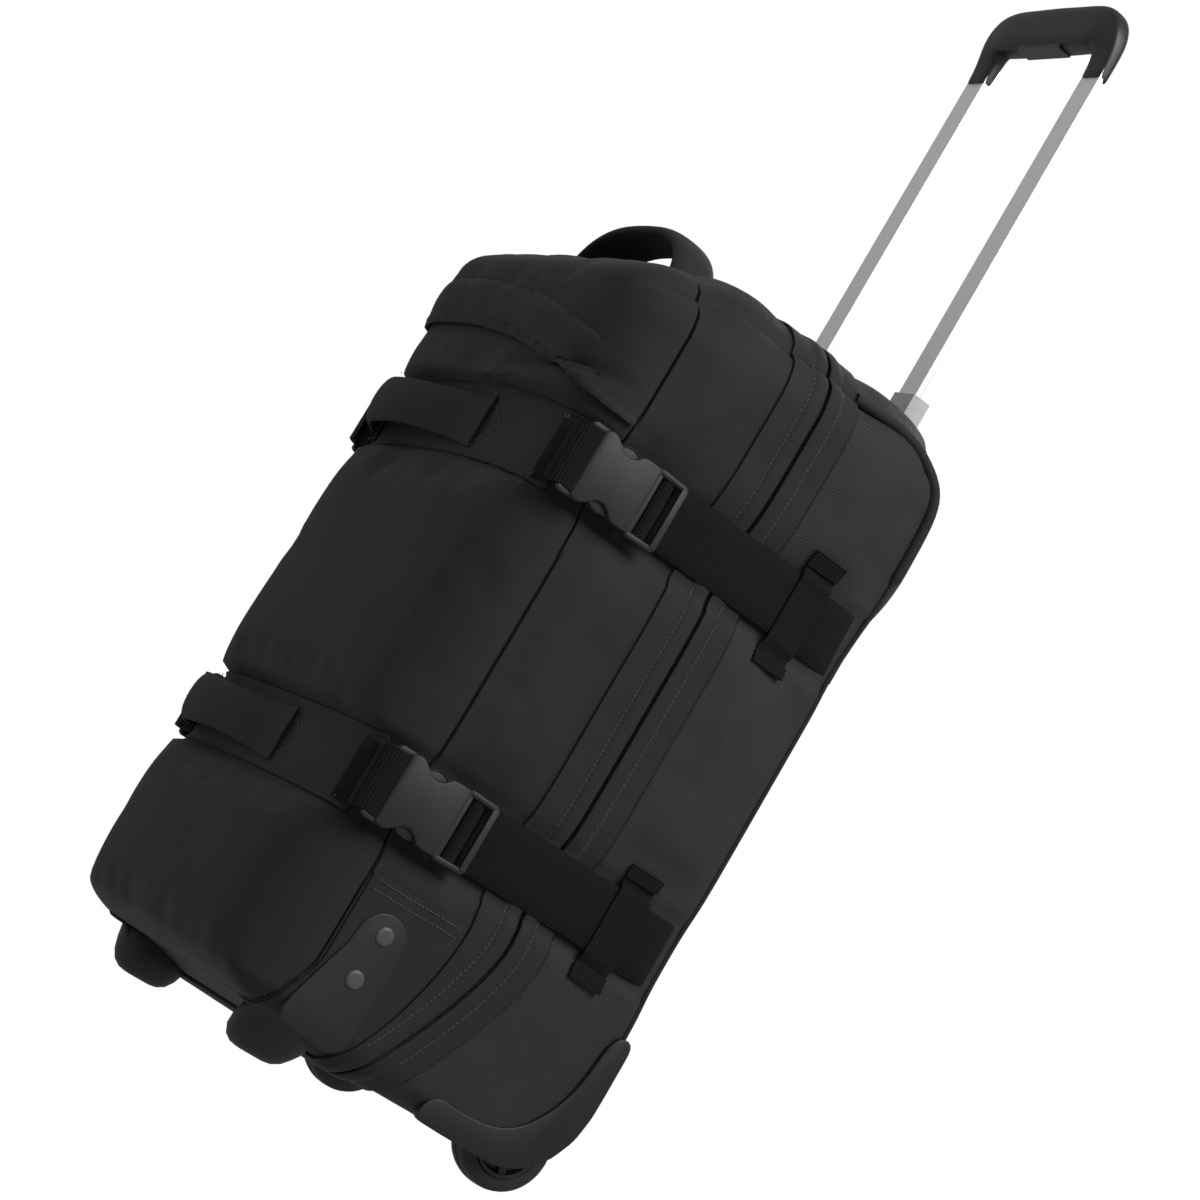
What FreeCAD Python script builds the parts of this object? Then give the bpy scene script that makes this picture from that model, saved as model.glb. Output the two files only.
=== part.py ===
import FreeCAD, Part
import math
import os
import Sketcher

# Rolling duffel bag: a rear tub on two wheels with a telescopic trolley, and a front shell
# that opens on a U-shaped zip and is hinged along the floor.
# Frame: +Z up, X across the bag, front towards -Y, origin on the ground under the middle.

document = FreeCAD.newDocument("rolling_duffel")

dimensions = {
    # bag body
    "bodyWidth": 334, "bodyFront": -125, "bodyBack": 146, "bodyBase": 20,
    "shoulderTop": 617, "crownTop": 660, "shoulderRound": 45, "crownRound": 300,
    "heelRound": 50, "wall": 4, "backBoard": 3, "trayThick": 5,
    # zip opening
    "slitRear": 22, "slitWidth": 6, "slitBend": 150, "slitToe": 57,
    "chainDepth": 3, "chainThick": 1.5, "sliderSlack": 0.4, "sliderDrop": 25, "sliderTall": 12,
    "pullLong": 30, "pullThick": 1.2,
    # front pocket
    "pocketSide": 8, "pocketBase": 50, "pocketTop": 540, "pocketThick": 6,
    # webbing, straps and handles
    "upperBelt": 460, "lowerBelt": 202, "webWide": 50, "webThick": 2.5, "softGap": 0.3,
    "frontBand": 60, "bandThick": 2.5, "bandLeg": 22, "loopRear": 103, "loopWide": 28,
    "loopTall": 80, "loopThick": 1.6,
    "carryLeft": -138, "carryRight": 46, "carryTall": 34, "carryThick": 7, "carryRise": 12.5,
    "carryFoot": 12,
    "topHandleY": -77, "topHandleWide": 40, "topHandleHalf": 90, "topHandleTop": 680,
    "topHandleThick": 9, "topHandleFlat": 42, "topHandleLeg": 36,
    # side-release buckles
    "buckleTall": 54, "buckleThick": 14, "socketFront": -134, "socketRear": -71,
    "cavityDeep": 36, "cavityWall": 3, "cavityRim": 4, "windowLong": 16, "windowDeep": 8,
    "plugLong": 27.5, "plugGap": 0.4, "prongLong": 32, "prongTall": 7, "prongThick": 5,
    "spineTall": 8, "barWide": 5, "ladderRim": 5,
    # trolley
    "tubePitch": 156, "tubeWide": 23, "tubeDeep": 8, "tubeBevel": 4, "tubeWall": 1.2,
    "tubeInset": 5,
    "tubeSlack": 0.3, "outerWall": 1.2, "bracketLift": 3, "outerTop": 656, "innerBase": 606,
    "innerTop": 990, "collarTop": 674, "collarRim": 3.5, "collarDrop": 30,
    "bracketTall": 24, "bracketRim": 3,
    "gripHalf": 92, "gripBase": 984, "gripTop": 1026, "gripDeep": 20, "gripRound": 18,
    "gripLead": 7,
    "sleeveBase": 960, "sleeveWide": 24, "sleeveDeep": 11, "triggerHalf": 28, "triggerDeep": 14,
    "triggerTravel": 4, "triggerSlack": 0.3,
    "rodRadius": 1.5, "rodBase": 640, "pinRadius": 1.5, "pinSlack": 0.05, "pinUp": 16,
    "pinLong": 7,
    # wheels, housings and guards
    "wheelX": 138, "wheelY": 113, "wheelRadius": 36.5, "tyreWide": 24, "hubRadius": 25,
    "hubWide": 26, "axleRadius": 4, "axleSlack": 0.05, "wheelRoom": 5, "houseInner": 114,
    "houseWall": 5, "houseFront": 66, "houseTop": 84,
    "guardBand": 17, "guardThick": 3.5, "guardToe": 24, "guardTop": 138, "guardLap": 4,
    # feet
    "footFront": -108, "footRear": -46, "footInner": 98, "footSoleIn": 108, "footSoleOut": 140,
    "footPlate": 4, "plateTop": 125, "plateRound": 20, "soleRound": 7,
    "rivetRadius": 7, "rivetHead": 2, "rivetHigh": 114, "rivetLow": 79, "rivetHighY": -67,
    "rivetLowY": -70,
}

sheet = document.addObject("Spreadsheet::Sheet", "Sizes")
for row, (alias, number) in enumerate(dimensions.items(), start=1):
    sheet.set(f"A{row}", alias)
    sheet.set(f"B{row}", str(number))
    sheet.setAlias(f"B{row}", alias)
document.recompute()


class Size:
    """A length that carries its number together with the sheet expression it comes from."""

    def __init__(self, number, text):
        self.number = float(number)
        self.text = text

    def __add__(self, other):
        other = asSize(other)
        return Size(self.number + other.number, f"({self.text} + {other.text})")

    def __sub__(self, other):
        other = asSize(other)
        return Size(self.number - other.number, f"({self.text} - {other.text})")

    def __mul__(self, other):
        other = asSize(other)
        return Size(self.number * other.number, f"({self.text} * {other.text})")

    def __truediv__(self, other):
        other = asSize(other)
        return Size(self.number / other.number, f"({self.text} / {other.text})")

    def __neg__(self):
        return Size(-self.number, f"(0 - {self.text})")

    __radd__ = __add__

    def __rmul__(self, other):
        return self * other


def asSize(value):
    return value if isinstance(value, Size) else Size(value, f"({value})")


def size(alias):
    return Size(sheet.get(alias), f"Sizes.{alias}")


def root(value):
    return Size(math.sqrt(value.number), f"sqrt({value.text})")


def bind(item, prop, value):
    """Ties one property of an object to the sheet."""
    item.setExpression(prop, asSize(value).text)


nodes = []


def node(item, name):
    """Marks an object as a finished sub-part; its Label is the name of its file."""
    item.Label = name
    nodes.append(item)
    return item


def place(item, x, y, z):
    for axis, value in zip("xyz", (x, y, z)):
        bind(item, f"Placement.Base.{axis}", value)
    return item


def block(name, low, high):
    """A box between two corners, each given as three sizes."""
    item = document.addObject("Part::Box", name)
    for prop, start, end in zip(("Length", "Width", "Height"), low, high):
        bind(item, prop, asSize(end) - start)
    return place(item, *low)


def rod(name, axis, radius, start, length):
    """A cylinder along X, Y or Z from its start point."""
    item = document.addObject("Part::Cylinder", name)
    turns = {"X": FreeCAD.Rotation(FreeCAD.Vector(0, 1, 0), 90),
             "Y": FreeCAD.Rotation(FreeCAD.Vector(1, 0, 0), -90), "Z": FreeCAD.Rotation()}
    item.Placement = FreeCAD.Placement(FreeCAD.Vector(), turns[axis])
    bind(item, "Radius", radius)
    bind(item, "Height", length)
    return place(item, *start)


def fuse(name, *items):
    item = document.addObject("Part::MultiFuse", name)
    item.Shapes = list(items)
    item.Refine = True
    return item


def cut(name, base, *tools):
    """Takes each tool from the base in turn."""
    for index, tool in enumerate(tools):
        item = document.addObject("Part::Cut", f"{name}{index}")
        item.Base = base
        item.Tool = tool
        base = item
    base.Refine = True
    return base


def outline(sketch, points):
    """Draws a closed outline whose corners follow the sheet."""
    count = len(points)
    corners = [FreeCAD.Vector(asSize(u).number, asSize(v).number, 0) for u, v in points]
    for index in range(count):
        sketch.addGeometry(Part.LineSegment(corners[index], corners[(index + 1) % count]), False)
    for index, point in enumerate(points):
        sketch.addConstraint(Sketcher.Constraint("Coincident", index, 2, (index + 1) % count, 1))
        for kind, value in zip(("DistanceX", "DistanceY"), point):
            number = asSize(value).number
            place_ = sketch.addConstraint(Sketcher.Constraint(kind, -1, 1, index, 1, number))
            name = f"{kind}{index}"
            sketch.renameConstraint(place_, name)
            bind(sketch, f"Constraints.{name}", value)


planes = {
    # plane: (role, which way the sketch normal points along its axis, corner to 3-D)
    "XY": ("XY_Plane", 1, lambda u, v, w: (u, v, w)),
    "XZ": ("XZ_Plane", -1, lambda u, v, w: (u, w, v)),
    "YZ": ("YZ_Plane", 1, lambda u, v, w: (w, u, v)),
}


def prism(name, plane, points, start, end, *roundings):
    """Pads an outline from start to end along the plane's axis and rounds some long edges.

    Each rounding is (radius, indices of the corners it applies to)."""
    role, normal, to3d = planes[plane]
    body = document.addObject("PartDesign::Body", name)
    sketch = body.newObject("Sketcher::SketchObject", name + "Sketch")
    origin = [feature for feature in body.Origin.OriginFeatures if feature.Role == role][0]
    sketch.AttachmentSupport = (origin, [""])
    sketch.MapMode = "FlatFace"
    offset = asSize(start) if normal > 0 else -asSize(end)
    bind(sketch, "AttachmentOffset.Base.z", offset)
    outline(sketch, points)
    pad = body.newObject("PartDesign::Pad", name + "Pad")
    pad.Profile = sketch
    bind(pad, "Length", asSize(end) - start)
    document.recompute()
    feature = pad
    for index, (radius, corners) in enumerate(roundings):
        wanted = [to3d(asSize(points[c][0]).number, asSize(points[c][1]).number, 0)
                  for c in corners]
        long = to3d(0, 0, 1)
        edges = []
        for number, edge in enumerate(feature.Shape.Edges, start=1):
            ends = [vertex.Point for vertex in edge.Vertexes]
            if len(ends) < 2:
                continue
            for corner in wanted:
                off = [max(abs(end[k] - corner[k]) * (1 - long[k]) for k in range(3))
                       for end in ends]
                if max(off) < 0.01:
                    edges.append(f"Edge{number}")
        fillet = body.newObject("PartDesign::Fillet", f"{name}Round{index}")
        fillet.Base = (feature, edges)
        bind(fillet, "Radius", radius)
        document.recompute()
        feature = fillet
    return body


def mirrorX(points, side):
    """Turns an outline on XZ or XY over for the left side."""
    return [(asSize(u) * side, v) for u, v in points]


def spread(side, near, far):
    """The x range between two distances from the middle, in order, on one side."""
    return (near, far) if side > 0 else (-asSize(far), -asSize(near))


def slab(name, side, near, far, lowY, highY, lowZ, highZ):
    """A box on one side of the bag, its x given as distances from the middle."""
    lowX, highX = spread(side, near, far)
    return block(name, (lowX, lowY, lowZ), (highX, highY, highZ))


# Places that several pieces share.
width = size("bodyWidth")
half = width / 2
front = size("bodyFront")
back = size("bodyBack")
base = size("bodyBase")
wall = size("wall")
innerHalf = half - wall
shoulder = size("shoulderTop") - size("shoulderRound")
slitRear = size("slitRear")
slitFront = slitRear - size("slitWidth")
toeRear = slitRear - size("slitToe")
toeFront = slitFront - size("slitToe")
slope = (size("crownTop") - size("shoulderTop")) / half
fall = root(slope * slope + 1) - slope
rise = root(slope * slope + 1)
gap = size("softGap")
webOut = half + gap + size("webThick")
pocketFace = front - wall - size("pocketThick")
bandFace = pocketFace - size("bandThick")
buckleIn = webOut + gap
buckleOut = buckleIn + size("buckleThick")
tubeY = (back - size("backBoard") - size("tubeInset") - size("tubeDeep") / 2
         - size("tubeSlack") - size("outerWall"))
bracketBase = base + size("heelRound") + size("bracketLift")
outerBase = bracketBase + size("bracketRim")
sliderTop = shoulder - size("sliderDrop")
sides = {"left": -1, "right": 1}
linkZ = size("innerTop") + size("rodRadius") + size("triggerSlack")
belts = {"upper": size("upperBelt"), "lower": size("lowerBelt")}


def gable(inset):
    """The arched top in front view: shoulders and a rounded crown, inset by a wall."""
    out = half - inset
    top = size("shoulderTop") - fall * inset
    return [(-out, shoulder), (out, shoulder), (out, top), (0, size("crownTop") - rise * inset),
            (-out, top)]


def arch(name, start, end, inset):
    return prism(name, "XZ", gable(inset), start, end,
                 (size("shoulderRound") - inset, (2, 4)), (size("crownRound") - inset, (3,)))


# Rear tub: two side panels, a tray, a back board that turns under at the heel, and a top.
def tubPanels():
    sideOutline = [(toeRear, base), (back, base), (back, shoulder), (slitRear, shoulder),
                   (slitRear, size("slitBend"))]
    for word, side in sides.items():
        low, high = spread(side, innerHalf, half)
        node(prism(f"tubSide_{word}", "YZ", sideOutline, low, high, (size("heelRound"), (1,))),
             f"tub_side_{word}")

    heel = back - size("heelRound") - wall
    tray = block("trayPlate", (-innerHalf, toeRear, base), (innerHalf, heel, base + size("trayThick")))
    board = back - size("backBoard")
    boardIn = size("backBoard")
    backOutline = [(heel, base), (back, base), (back, shoulder), (board, shoulder),
                   (board, base + boardIn), (heel, base + boardIn)]
    backPlate = prism("backPlate", "YZ", backOutline, -innerHalf, innerHalf,
                      (size("heelRound"), (1,)), (size("heelRound") - boardIn, (4,)))
    for name, plate, label in (("tray", tray, "tub_base"), ("backing", backPlate, "tub_back")):
        rooms = [slab(f"{name}Room_{word}", side, size("houseInner"), half, size("houseFront"),
                      back + size("heelRound"), 0, size("houseTop"))
                 for word, side in sides.items()]
        node(cut(name, plate, *rooms), label)

    cap = arch("capOuter", slitRear, back, 0)
    room = arch("capInner", slitRear - 1, back - size("backBoard"), wall)
    underside = block("capUnder", (-innerHalf, slitRear - 1, shoulder - 1),
                      (innerHalf, back - size("backBoard"), shoulder + 1))
    holes = [tubeSolid(f"capHole_{word}", side, tubeOutside, None, outerBase,
                       size("collarTop"))
             for word, side in sides.items()]
    node(cut("cap", cap, room, underside, *holes), "tub_top")


# Front shell: two gussets, a floor and a top gusset behind a front panel with its pocket.
def shellPanels():
    gussetOutline = [(front, base), (toeFront, base), (slitFront, size("slitBend")),
                     (slitFront, shoulder), (front, shoulder)]
    for word, side in sides.items():
        low, high = spread(side, innerHalf, half)
        node(prism(f"gusset_{word}", "YZ", gussetOutline, low, high), f"gusset_{word}")
    node(block("gussetFloor", (-innerHalf, front, base), (innerHalf, toeFront, base + wall)),
         "gusset_floor")

    cap = arch("gussetOuter", front, slitFront, 0)
    room = arch("gussetInner", front - 1, slitFront + 1, wall)
    underside = block("gussetUnder", (-innerHalf, front - 1, shoulder - 1),
                      (innerHalf, slitFront + 1, shoulder + 1))
    node(cut("gussetCap", cap, room, underside), "gusset_top")

    panel = gable(0)
    panel[0] = (-half, base)
    panel[1] = (half, base)
    node(prism("frontPanel", "XZ", panel, front - wall, front,
               (size("shoulderRound"), (2, 4)), (size("crownRound"), (3,))), "front_panel")

    out = half - size("pocketSide")
    pocket = [(-out, size("pocketBase")), (out, size("pocketBase")), (out, size("pocketTop")),
              (-out, size("pocketTop"))]
    node(prism("frontPocket", "XZ", pocket, pocketFace, front - wall,
               (size("shoulderRound"), (0, 1, 2, 3))), "front_pocket")


# Zip: the toothed chain down both sides in the slit, and a slider with its pull on each side.
def zips():
    chains = []
    for word, side in sides.items():
        inner = innerHalf
        outer = innerHalf + size("chainThick")
        chains.append(slab(f"chain_{word}", side, inner, outer, slitRear - size("chainDepth"),
                           slitRear, size("slitBend"), shoulder))
        body = slab(f"sliderBody_{word}", side, outer + gap, half,
                    slitFront + size("sliderSlack"), slitRear - size("sliderSlack"),
                    sliderTop, sliderTop + size("sliderTall"))
        pull = slab(f"sliderPull_{word}", side, half - size("pullThick"), half,
                    slitFront + size("sliderSlack"), slitRear - size("sliderSlack"),
                    sliderTop - size("pullLong"), sliderTop)
        node(fuse(f"slider_{word}", body, pull), f"zip_slider_{word}")
    node(fuse("zipChain", *chains), "zip_chain")


# Trolley: mirrored tubes with a bevelled outer rear corner, one sliding inside the other.
tubeInside = -size("tubeWall")
outerBore = size("tubeSlack")
tubeOutside = size("tubeSlack") + size("outerWall")


def tubeOutline(side, grow):
    """The tube's section grown by a distance all round; the bevel keeps its angle."""
    grow = asSize(grow)
    wide = size("tubeWide") / 2 + grow
    deep = size("tubeDeep") / 2 + grow
    bevel = size("tubeBevel") + grow * (2 - math.sqrt(2))
    section = [(-wide, -deep), (wide, -deep), (wide, deep - bevel), (wide - bevel, deep),
               (-wide, deep)]
    return [(asSize(x) * side + size("tubePitch") / 2 * side, asSize(y) + tubeY)
            for x, y in section]


def tubeSolid(name, side, outer, bore, low, high):
    """A length of tube; bore None makes it solid."""
    shell = prism(name + "Shell", "XY", tubeOutline(side, outer), low, high)
    if bore is None:
        return shell
    hollow = prism(name + "Bore", "XY", tubeOutline(side, bore), asSize(low) - 1, asSize(high) + 1)
    return cut(name, shell, hollow)


def trolley():
    pinZ = size("innerBase") + size("pinUp")
    pinY = tubeY - size("tubeBevel") / 2
    tubeWall = size("tubeWall")
    for word, side in sides.items():
        centre = size("tubePitch") / 2 * side
        node(tubeSolid(f"outerTube_{word}", side, tubeOutside, outerBore, outerBase,
                       size("outerTop")), f"outer_tube_{word}")

        # inner tube with a hole for its lock pin in the wall that faces outwards
        inner = tubeSolid(f"innerTube_{word}", side, 0, tubeInside, size("innerBase"),
                          size("innerTop"))
        low, high = spread(side, 0, size("tubeWide"))
        hole = rod(f"pinHole_{word}", "X", size("pinRadius") + size("pinSlack"),
                   (centre + low, pinY, pinZ), high - low)
        node(cut(f"drilledTube_{word}", inner, hole), f"inner_tube_{word}")

        # the lock pin ends just short of the outer tube's bore
        tip = size("tubeWide") / 2 + size("tubeSlack") / 2
        low, high = spread(side, tip - size("pinLong"), tip)
        node(rod(f"lockPin_{word}", "X", size("pinRadius"),
                 (centre + low, pinY, pinZ), high - low),
             f"lock_pin_{word}")

        # collar on the crown round the mouth of the outer tube
        reach = size("collarRim") + tubeOutside
        low = centre - size("tubeWide") / 2 - reach
        collar = block(f"collarBlock_{word}",
                       (low, tubeY - size("tubeDeep") / 2 - reach,
                        size("collarTop") - size("collarDrop")),
                       (low + size("tubeWide") + reach * 2, back, size("collarTop")))
        crown = arch(f"collarSeat_{word}", slitRear, back, 0)
        bore = tubeSolid(f"collarBore_{word}", side, tubeOutside, None, outerBase,
                         size("outerTop"))
        mouth = tubeSolid(f"collarMouth_{word}", side, outerBore, None, outerBase,
                          size("collarTop") + 1)
        node(cut(f"collar_{word}", collar, crown, bore, mouth), f"tube_collar_{word}")

    # bottom bracket that holds both outer tubes to the back board
    bracketHalf = size("tubePitch") / 2 + size("tubeWide") / 2 + tubeOutside + size("bracketRim")
    bracket = block("bracketBlock",
                    (-bracketHalf, tubeY - size("tubeDeep") / 2 - tubeOutside - size("bracketRim"),
                     bracketBase),
                    (bracketHalf, back - size("backBoard"), bracketBase + size("bracketTall")))
    seats = [tubeSolid(f"bracketSeat_{word}", side, tubeOutside, None, outerBase,
                       size("outerTop")) for word, side in sides.items()]
    node(cut("bracket", bracket, *seats), "tube_bracket")

    grip()


def grip():
    """The handle moulding: a bar with two sleeves, and a trigger in its underside."""
    gripY = tubeY - size("gripLead")
    deepLow = gripY - size("gripDeep") / 2
    deepHigh = gripY + size("gripDeep") / 2
    out = size("gripHalf")
    bar = prism("gripBar", "XZ",
                [(-out, size("gripBase")), (out, size("gripBase")), (out, size("gripTop")),
                 (-out, size("gripTop"))], deepLow, deepHigh, (size("gripRound"), (2, 3)))
    sleeves = []
    for word, side in sides.items():
        centre = size("tubePitch") / 2 * side
        reach = size("sleeveWide") / 2
        sleeves.append(block(f"sleeve_{word}",
                             (centre - reach, tubeY - size("sleeveDeep") / 2, size("sleeveBase")),
                             (centre + reach, tubeY + size("sleeveDeep") / 2,
                              size("gripBase") + size("gripDeep"))))
    solid = fuse("gripSolid", bar, *sleeves)
    sockets = [tubeSolid(f"gripSocket_{word}", side, 0, None, size("sleeveBase") - 1,
                         size("innerTop")) for word, side in sides.items()]
    slack = size("triggerSlack")
    pocket = block("triggerPocket",
                   (-size("triggerHalf") - slack, gripY - size("triggerDeep") / 2 - slack,
                    size("gripBase") - 1),
                   (size("triggerHalf") + slack, gripY + size("triggerDeep") / 2 + slack,
                    linkZ + size("rodRadius") + size("triggerTravel") + slack))
    # the passage in which the rods' cross link rides up with the trigger
    reach = size("rodRadius") + slack
    passage = block("linkPassage",
                    (-size("tubePitch") / 2 - reach, tubeY - reach, size("innerTop")),
                    (size("tubePitch") / 2 + reach, tubeY + reach,
                     linkZ + reach + size("triggerTravel")))
    node(cut("grip", solid, *sockets, pocket, passage), "grip")

    trigger = block("trigger",
                    (-size("triggerHalf"), gripY - size("triggerDeep") / 2, size("gripBase")),
                    (size("triggerHalf"), gripY + size("triggerDeep") / 2,
                     linkZ + size("rodRadius")))
    node(trigger, "release_trigger")


# Pull rods: one down each inner tube, from the trigger's link to just above its lock pin.
def pullRods():
    pieces = []
    for word, side in sides.items():
        centre = size("tubePitch") / 2 * side
        pieces.append(rod(f"pullRod_{word}", "Z", size("rodRadius"),
                          (centre, tubeY, size("rodBase")), linkZ - size("rodBase")))
        low, high = spread(side, size("triggerHalf"), size("tubePitch") / 2)
        pieces.append(rod(f"link_{word}", "X", size("rodRadius"), (low, tubeY, linkZ), high - low))
    left = fuse("pullRodLeft", *pieces[:2])
    right = fuse("pullRodRight", *pieces[2:])
    group = document.addObject("Part::Compound", "pullRods")
    group.Links = [left, right]
    node(group, "pull_rods")


# Wheels: a bay in each lower rear corner, an axle across it, a hub and a tyre.
def wheels():
    heelOutline = [(size("houseFront"), base), (back, base), (back, size("houseTop")),
                   (size("houseFront"), size("houseTop"))]
    axles = []
    for word, side in sides.items():
        low, high = spread(side, size("houseInner"), innerHalf)
        shell = prism(f"house_{word}", "YZ", heelOutline, low, high, (size("heelRound"), (1,)))
        bay = slab(f"bay_{word}", side, size("houseInner") + size("houseWall"),
                   innerHalf - size("houseWall"), size("houseFront") + size("houseWall"),
                   back + size("heelRound"), 0, size("houseTop") - size("houseWall"))
        hole = rod(f"axleHole_{word}", "X", size("axleRadius"),
                   (low, size("wheelY"), size("wheelRadius")), high - low)
        node(cut(f"housing_{word}", shell, bay, hole), f"wheel_housing_{word}")
        axles.append(rod(f"axle_{word}", "X", size("axleRadius"),
                         (low, size("wheelY"), size("wheelRadius")), high - low))

        tyreLow, tyreHigh = spread(side, size("wheelX") - size("tyreWide") / 2,
                                   size("wheelX") + size("tyreWide") / 2)
        hubLow, hubHigh = spread(side, size("wheelX") - size("hubWide") / 2,
                                 size("wheelX") + size("hubWide") / 2)
        tyre = rod(f"tyreDisc_{word}", "X", size("wheelRadius"),
                   (tyreLow, size("wheelY"), size("wheelRadius")), tyreHigh - tyreLow)
        eye = rod(f"tyreEye_{word}", "X", size("hubRadius"),
                  (tyreLow, size("wheelY"), size("wheelRadius")), tyreHigh - tyreLow)
        node(cut(f"tyre_{word}", tyre, eye), f"tyre_{word}")
        hub = rod(f"hubDisc_{word}", "X", size("hubRadius"),
                  (hubLow, size("wheelY"), size("wheelRadius")), hubHigh - hubLow)
        bore = rod(f"hubBore_{word}", "X", size("axleRadius") + size("axleSlack"),
                   (hubLow, size("wheelY"), size("wheelRadius")), hubHigh - hubLow)
        node(cut(f"hub_{word}", hub, bore), f"hub_{word}")
    group = document.addObject("Part::Compound", "axlePair")
    group.Links = axles
    node(group, "axles")


# Corner guards: a moulded band round each heel, on the side panel.
def guards():
    band = size("guardBand")
    top = size("guardTop")
    toe = size("guardToe")
    lap = size("guardLap")
    outer = [(toe, base), (back + lap, base), (back + lap, top), (back - band, top),
             (back - band, base + band), (toe, base + band)]
    for word, side in sides.items():
        low, high = spread(side, half, half + size("guardThick"))
        node(prism(f"guard_{word}", "YZ", outer, low, high, (size("heelRound") + lap, (1,)),
                   (size("heelRound") - band, (4,))), f"corner_guard_{word}")


# Feet: a sole under each lower front corner with a riveted plate up the gusset.
def feet():
    plateOut = half + size("footPlate")
    rivets = []
    for word, side in sides.items():
        sole = prism(f"sole_{word}", "XZ",
                     mirrorX([(size("footInner"), base), (size("footSoleIn"), 0),
                              (size("footSoleOut"), 0), (plateOut, base), (plateOut, base * 2),
                              (half, base * 2), (half, base)], side),
                     size("footFront"), size("footRear"), (size("soleRound"), (1, 2)))
        low, high = spread(side, half, plateOut)
        plate = prism(f"plate_{word}", "YZ",
                      [(size("footFront"), base), (size("footRear"), base),
                       (size("footRear"), size("plateTop")),
                       (size("footRear") - size("plateRound") * 2, size("plateTop"))],
                      low, high, (size("plateRound") * 0.6, (2, 3)))
        node(fuse(f"foot_{word}", sole, plate), f"foot_{word}")
        low, high = spread(side, plateOut, plateOut + size("rivetHead"))
        for level, y, z in (("High", size("rivetHighY"), size("rivetHigh")),
                            ("Low", size("rivetLowY"), size("rivetLow"))):
            rivets.append(rod(f"rivet{level}_{word}", "X", size("rivetRadius"), (low, y, z),
                              high - low))
    group = document.addObject("Part::Compound", "rivets")
    group.Links = rivets
    node(group, "foot_rivets")


# Compression straps: webbing on the tub, keeper loops over it, buckles, and front bands.
def straps():
    webHalf = size("webWide") / 2
    plugFront = size("socketRear") + size("plugGap")
    for word, side in sides.items():
        loops = []
        for level, z in belts.items():
            node(slab(f"web_{level}_{word}", side, half + gap, webOut,
                      plugFront + size("barWide"), back, z - webHalf, z + webHalf),
                 f"webbing_{level}_{word}")
            loopOut = webOut + gap + size("loopThick")
            loop = slab(f"loop_{level}_{word}", side, half, loopOut,
                        size("loopRear") - size("loopWide"), size("loopRear"),
                        z - size("loopTall") / 2, z + size("loopTall") / 2)
            channel = slab(f"channel_{level}_{word}", side, half - 1, webOut + gap,
                           size("loopRear") - size("loopWide"), size("loopRear"),
                           z - webHalf - gap, z + webHalf + gap)
            loops.append(cut(f"keeper_{level}_{word}", loop, channel))
            node(socket(level, word, side, z), f"buckle_socket_{level}_{word}")
            node(plug(level, word, side, z), f"buckle_plug_{level}_{word}")
        group = document.addObject("Part::Compound", f"keepers_{word}")
        group.Links = loops
        node(group, f"keeper_loops_{word}")


def socket(level, word, side, z):
    """The buckle's female half: a box open at the rear with a notch in each edge."""
    name = f"socket_{level}_{word}"
    tall = size("buckleTall") / 2
    body = slab(name + "Body", side, buckleIn, buckleOut, size("socketFront"),
                size("socketRear"), z - tall, z + tall)
    rim = size("cavityWall")
    cavity = slab(name + "Cavity", side, buckleIn + rim, buckleOut - rim,
                  size("socketRear") - size("cavityDeep"), size("socketRear") + 1,
                  z - tall + size("cavityRim"), z + tall - size("cavityRim"))
    windows = []
    for edge, end in (("Top", z + tall), ("Bottom", z - tall)):
        middle = size("socketRear") - size("cavityDeep") / 2
        low = end - size("windowDeep")
        windows.append(slab(name + edge, side, buckleIn - 1, buckleOut + 1,
                            middle - size("windowLong") / 2, middle + size("windowLong") / 2,
                            low, low + size("windowDeep") * 2))
    return cut(name, body, cavity, *windows)


def plug(level, word, side, z):
    """The buckle's male half: a ladder frame, a guide spine and two prongs."""
    name = f"plug_{level}_{word}"
    tall = size("buckleTall") / 2
    start = size("socketRear") + size("plugGap")
    end = start + size("plugLong")
    rim = size("ladderRim")
    frame = slab(name + "Frame", side, buckleIn, buckleOut, start, end, z - tall, z + tall)
    bar = size("barWide")
    slotLong = (size("plugLong") - bar * 3) / 2
    slots = []
    for index in range(2):
        low = start + bar + (slotLong + bar) * index
        slots.append(slab(f"{name}Slot{index}", side, buckleIn - 1, buckleOut + 1, low,
                          low + slotLong, z - tall + rim, z + tall - rim))
    ladder = cut(name + "Ladder", frame, *slots)
    middle = (buckleIn + buckleOut) / 2
    thick = size("prongThick") / 2
    reach = tall - size("cavityRim") - size("plugGap")
    tongues = []
    for piece, low, high in (("Spine", z - size("spineTall") / 2, z + size("spineTall") / 2),
                             ("ProngTop", z + reach - size("prongTall"), z + reach),
                             ("ProngBottom", z - reach, z - reach + size("prongTall"))):
        tongues.append(slab(name + piece, side, middle - thick, middle + thick,
                            start - size("prongLong"), start + bar, low, high))
    return fuse(name, ladder, *tongues)


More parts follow.
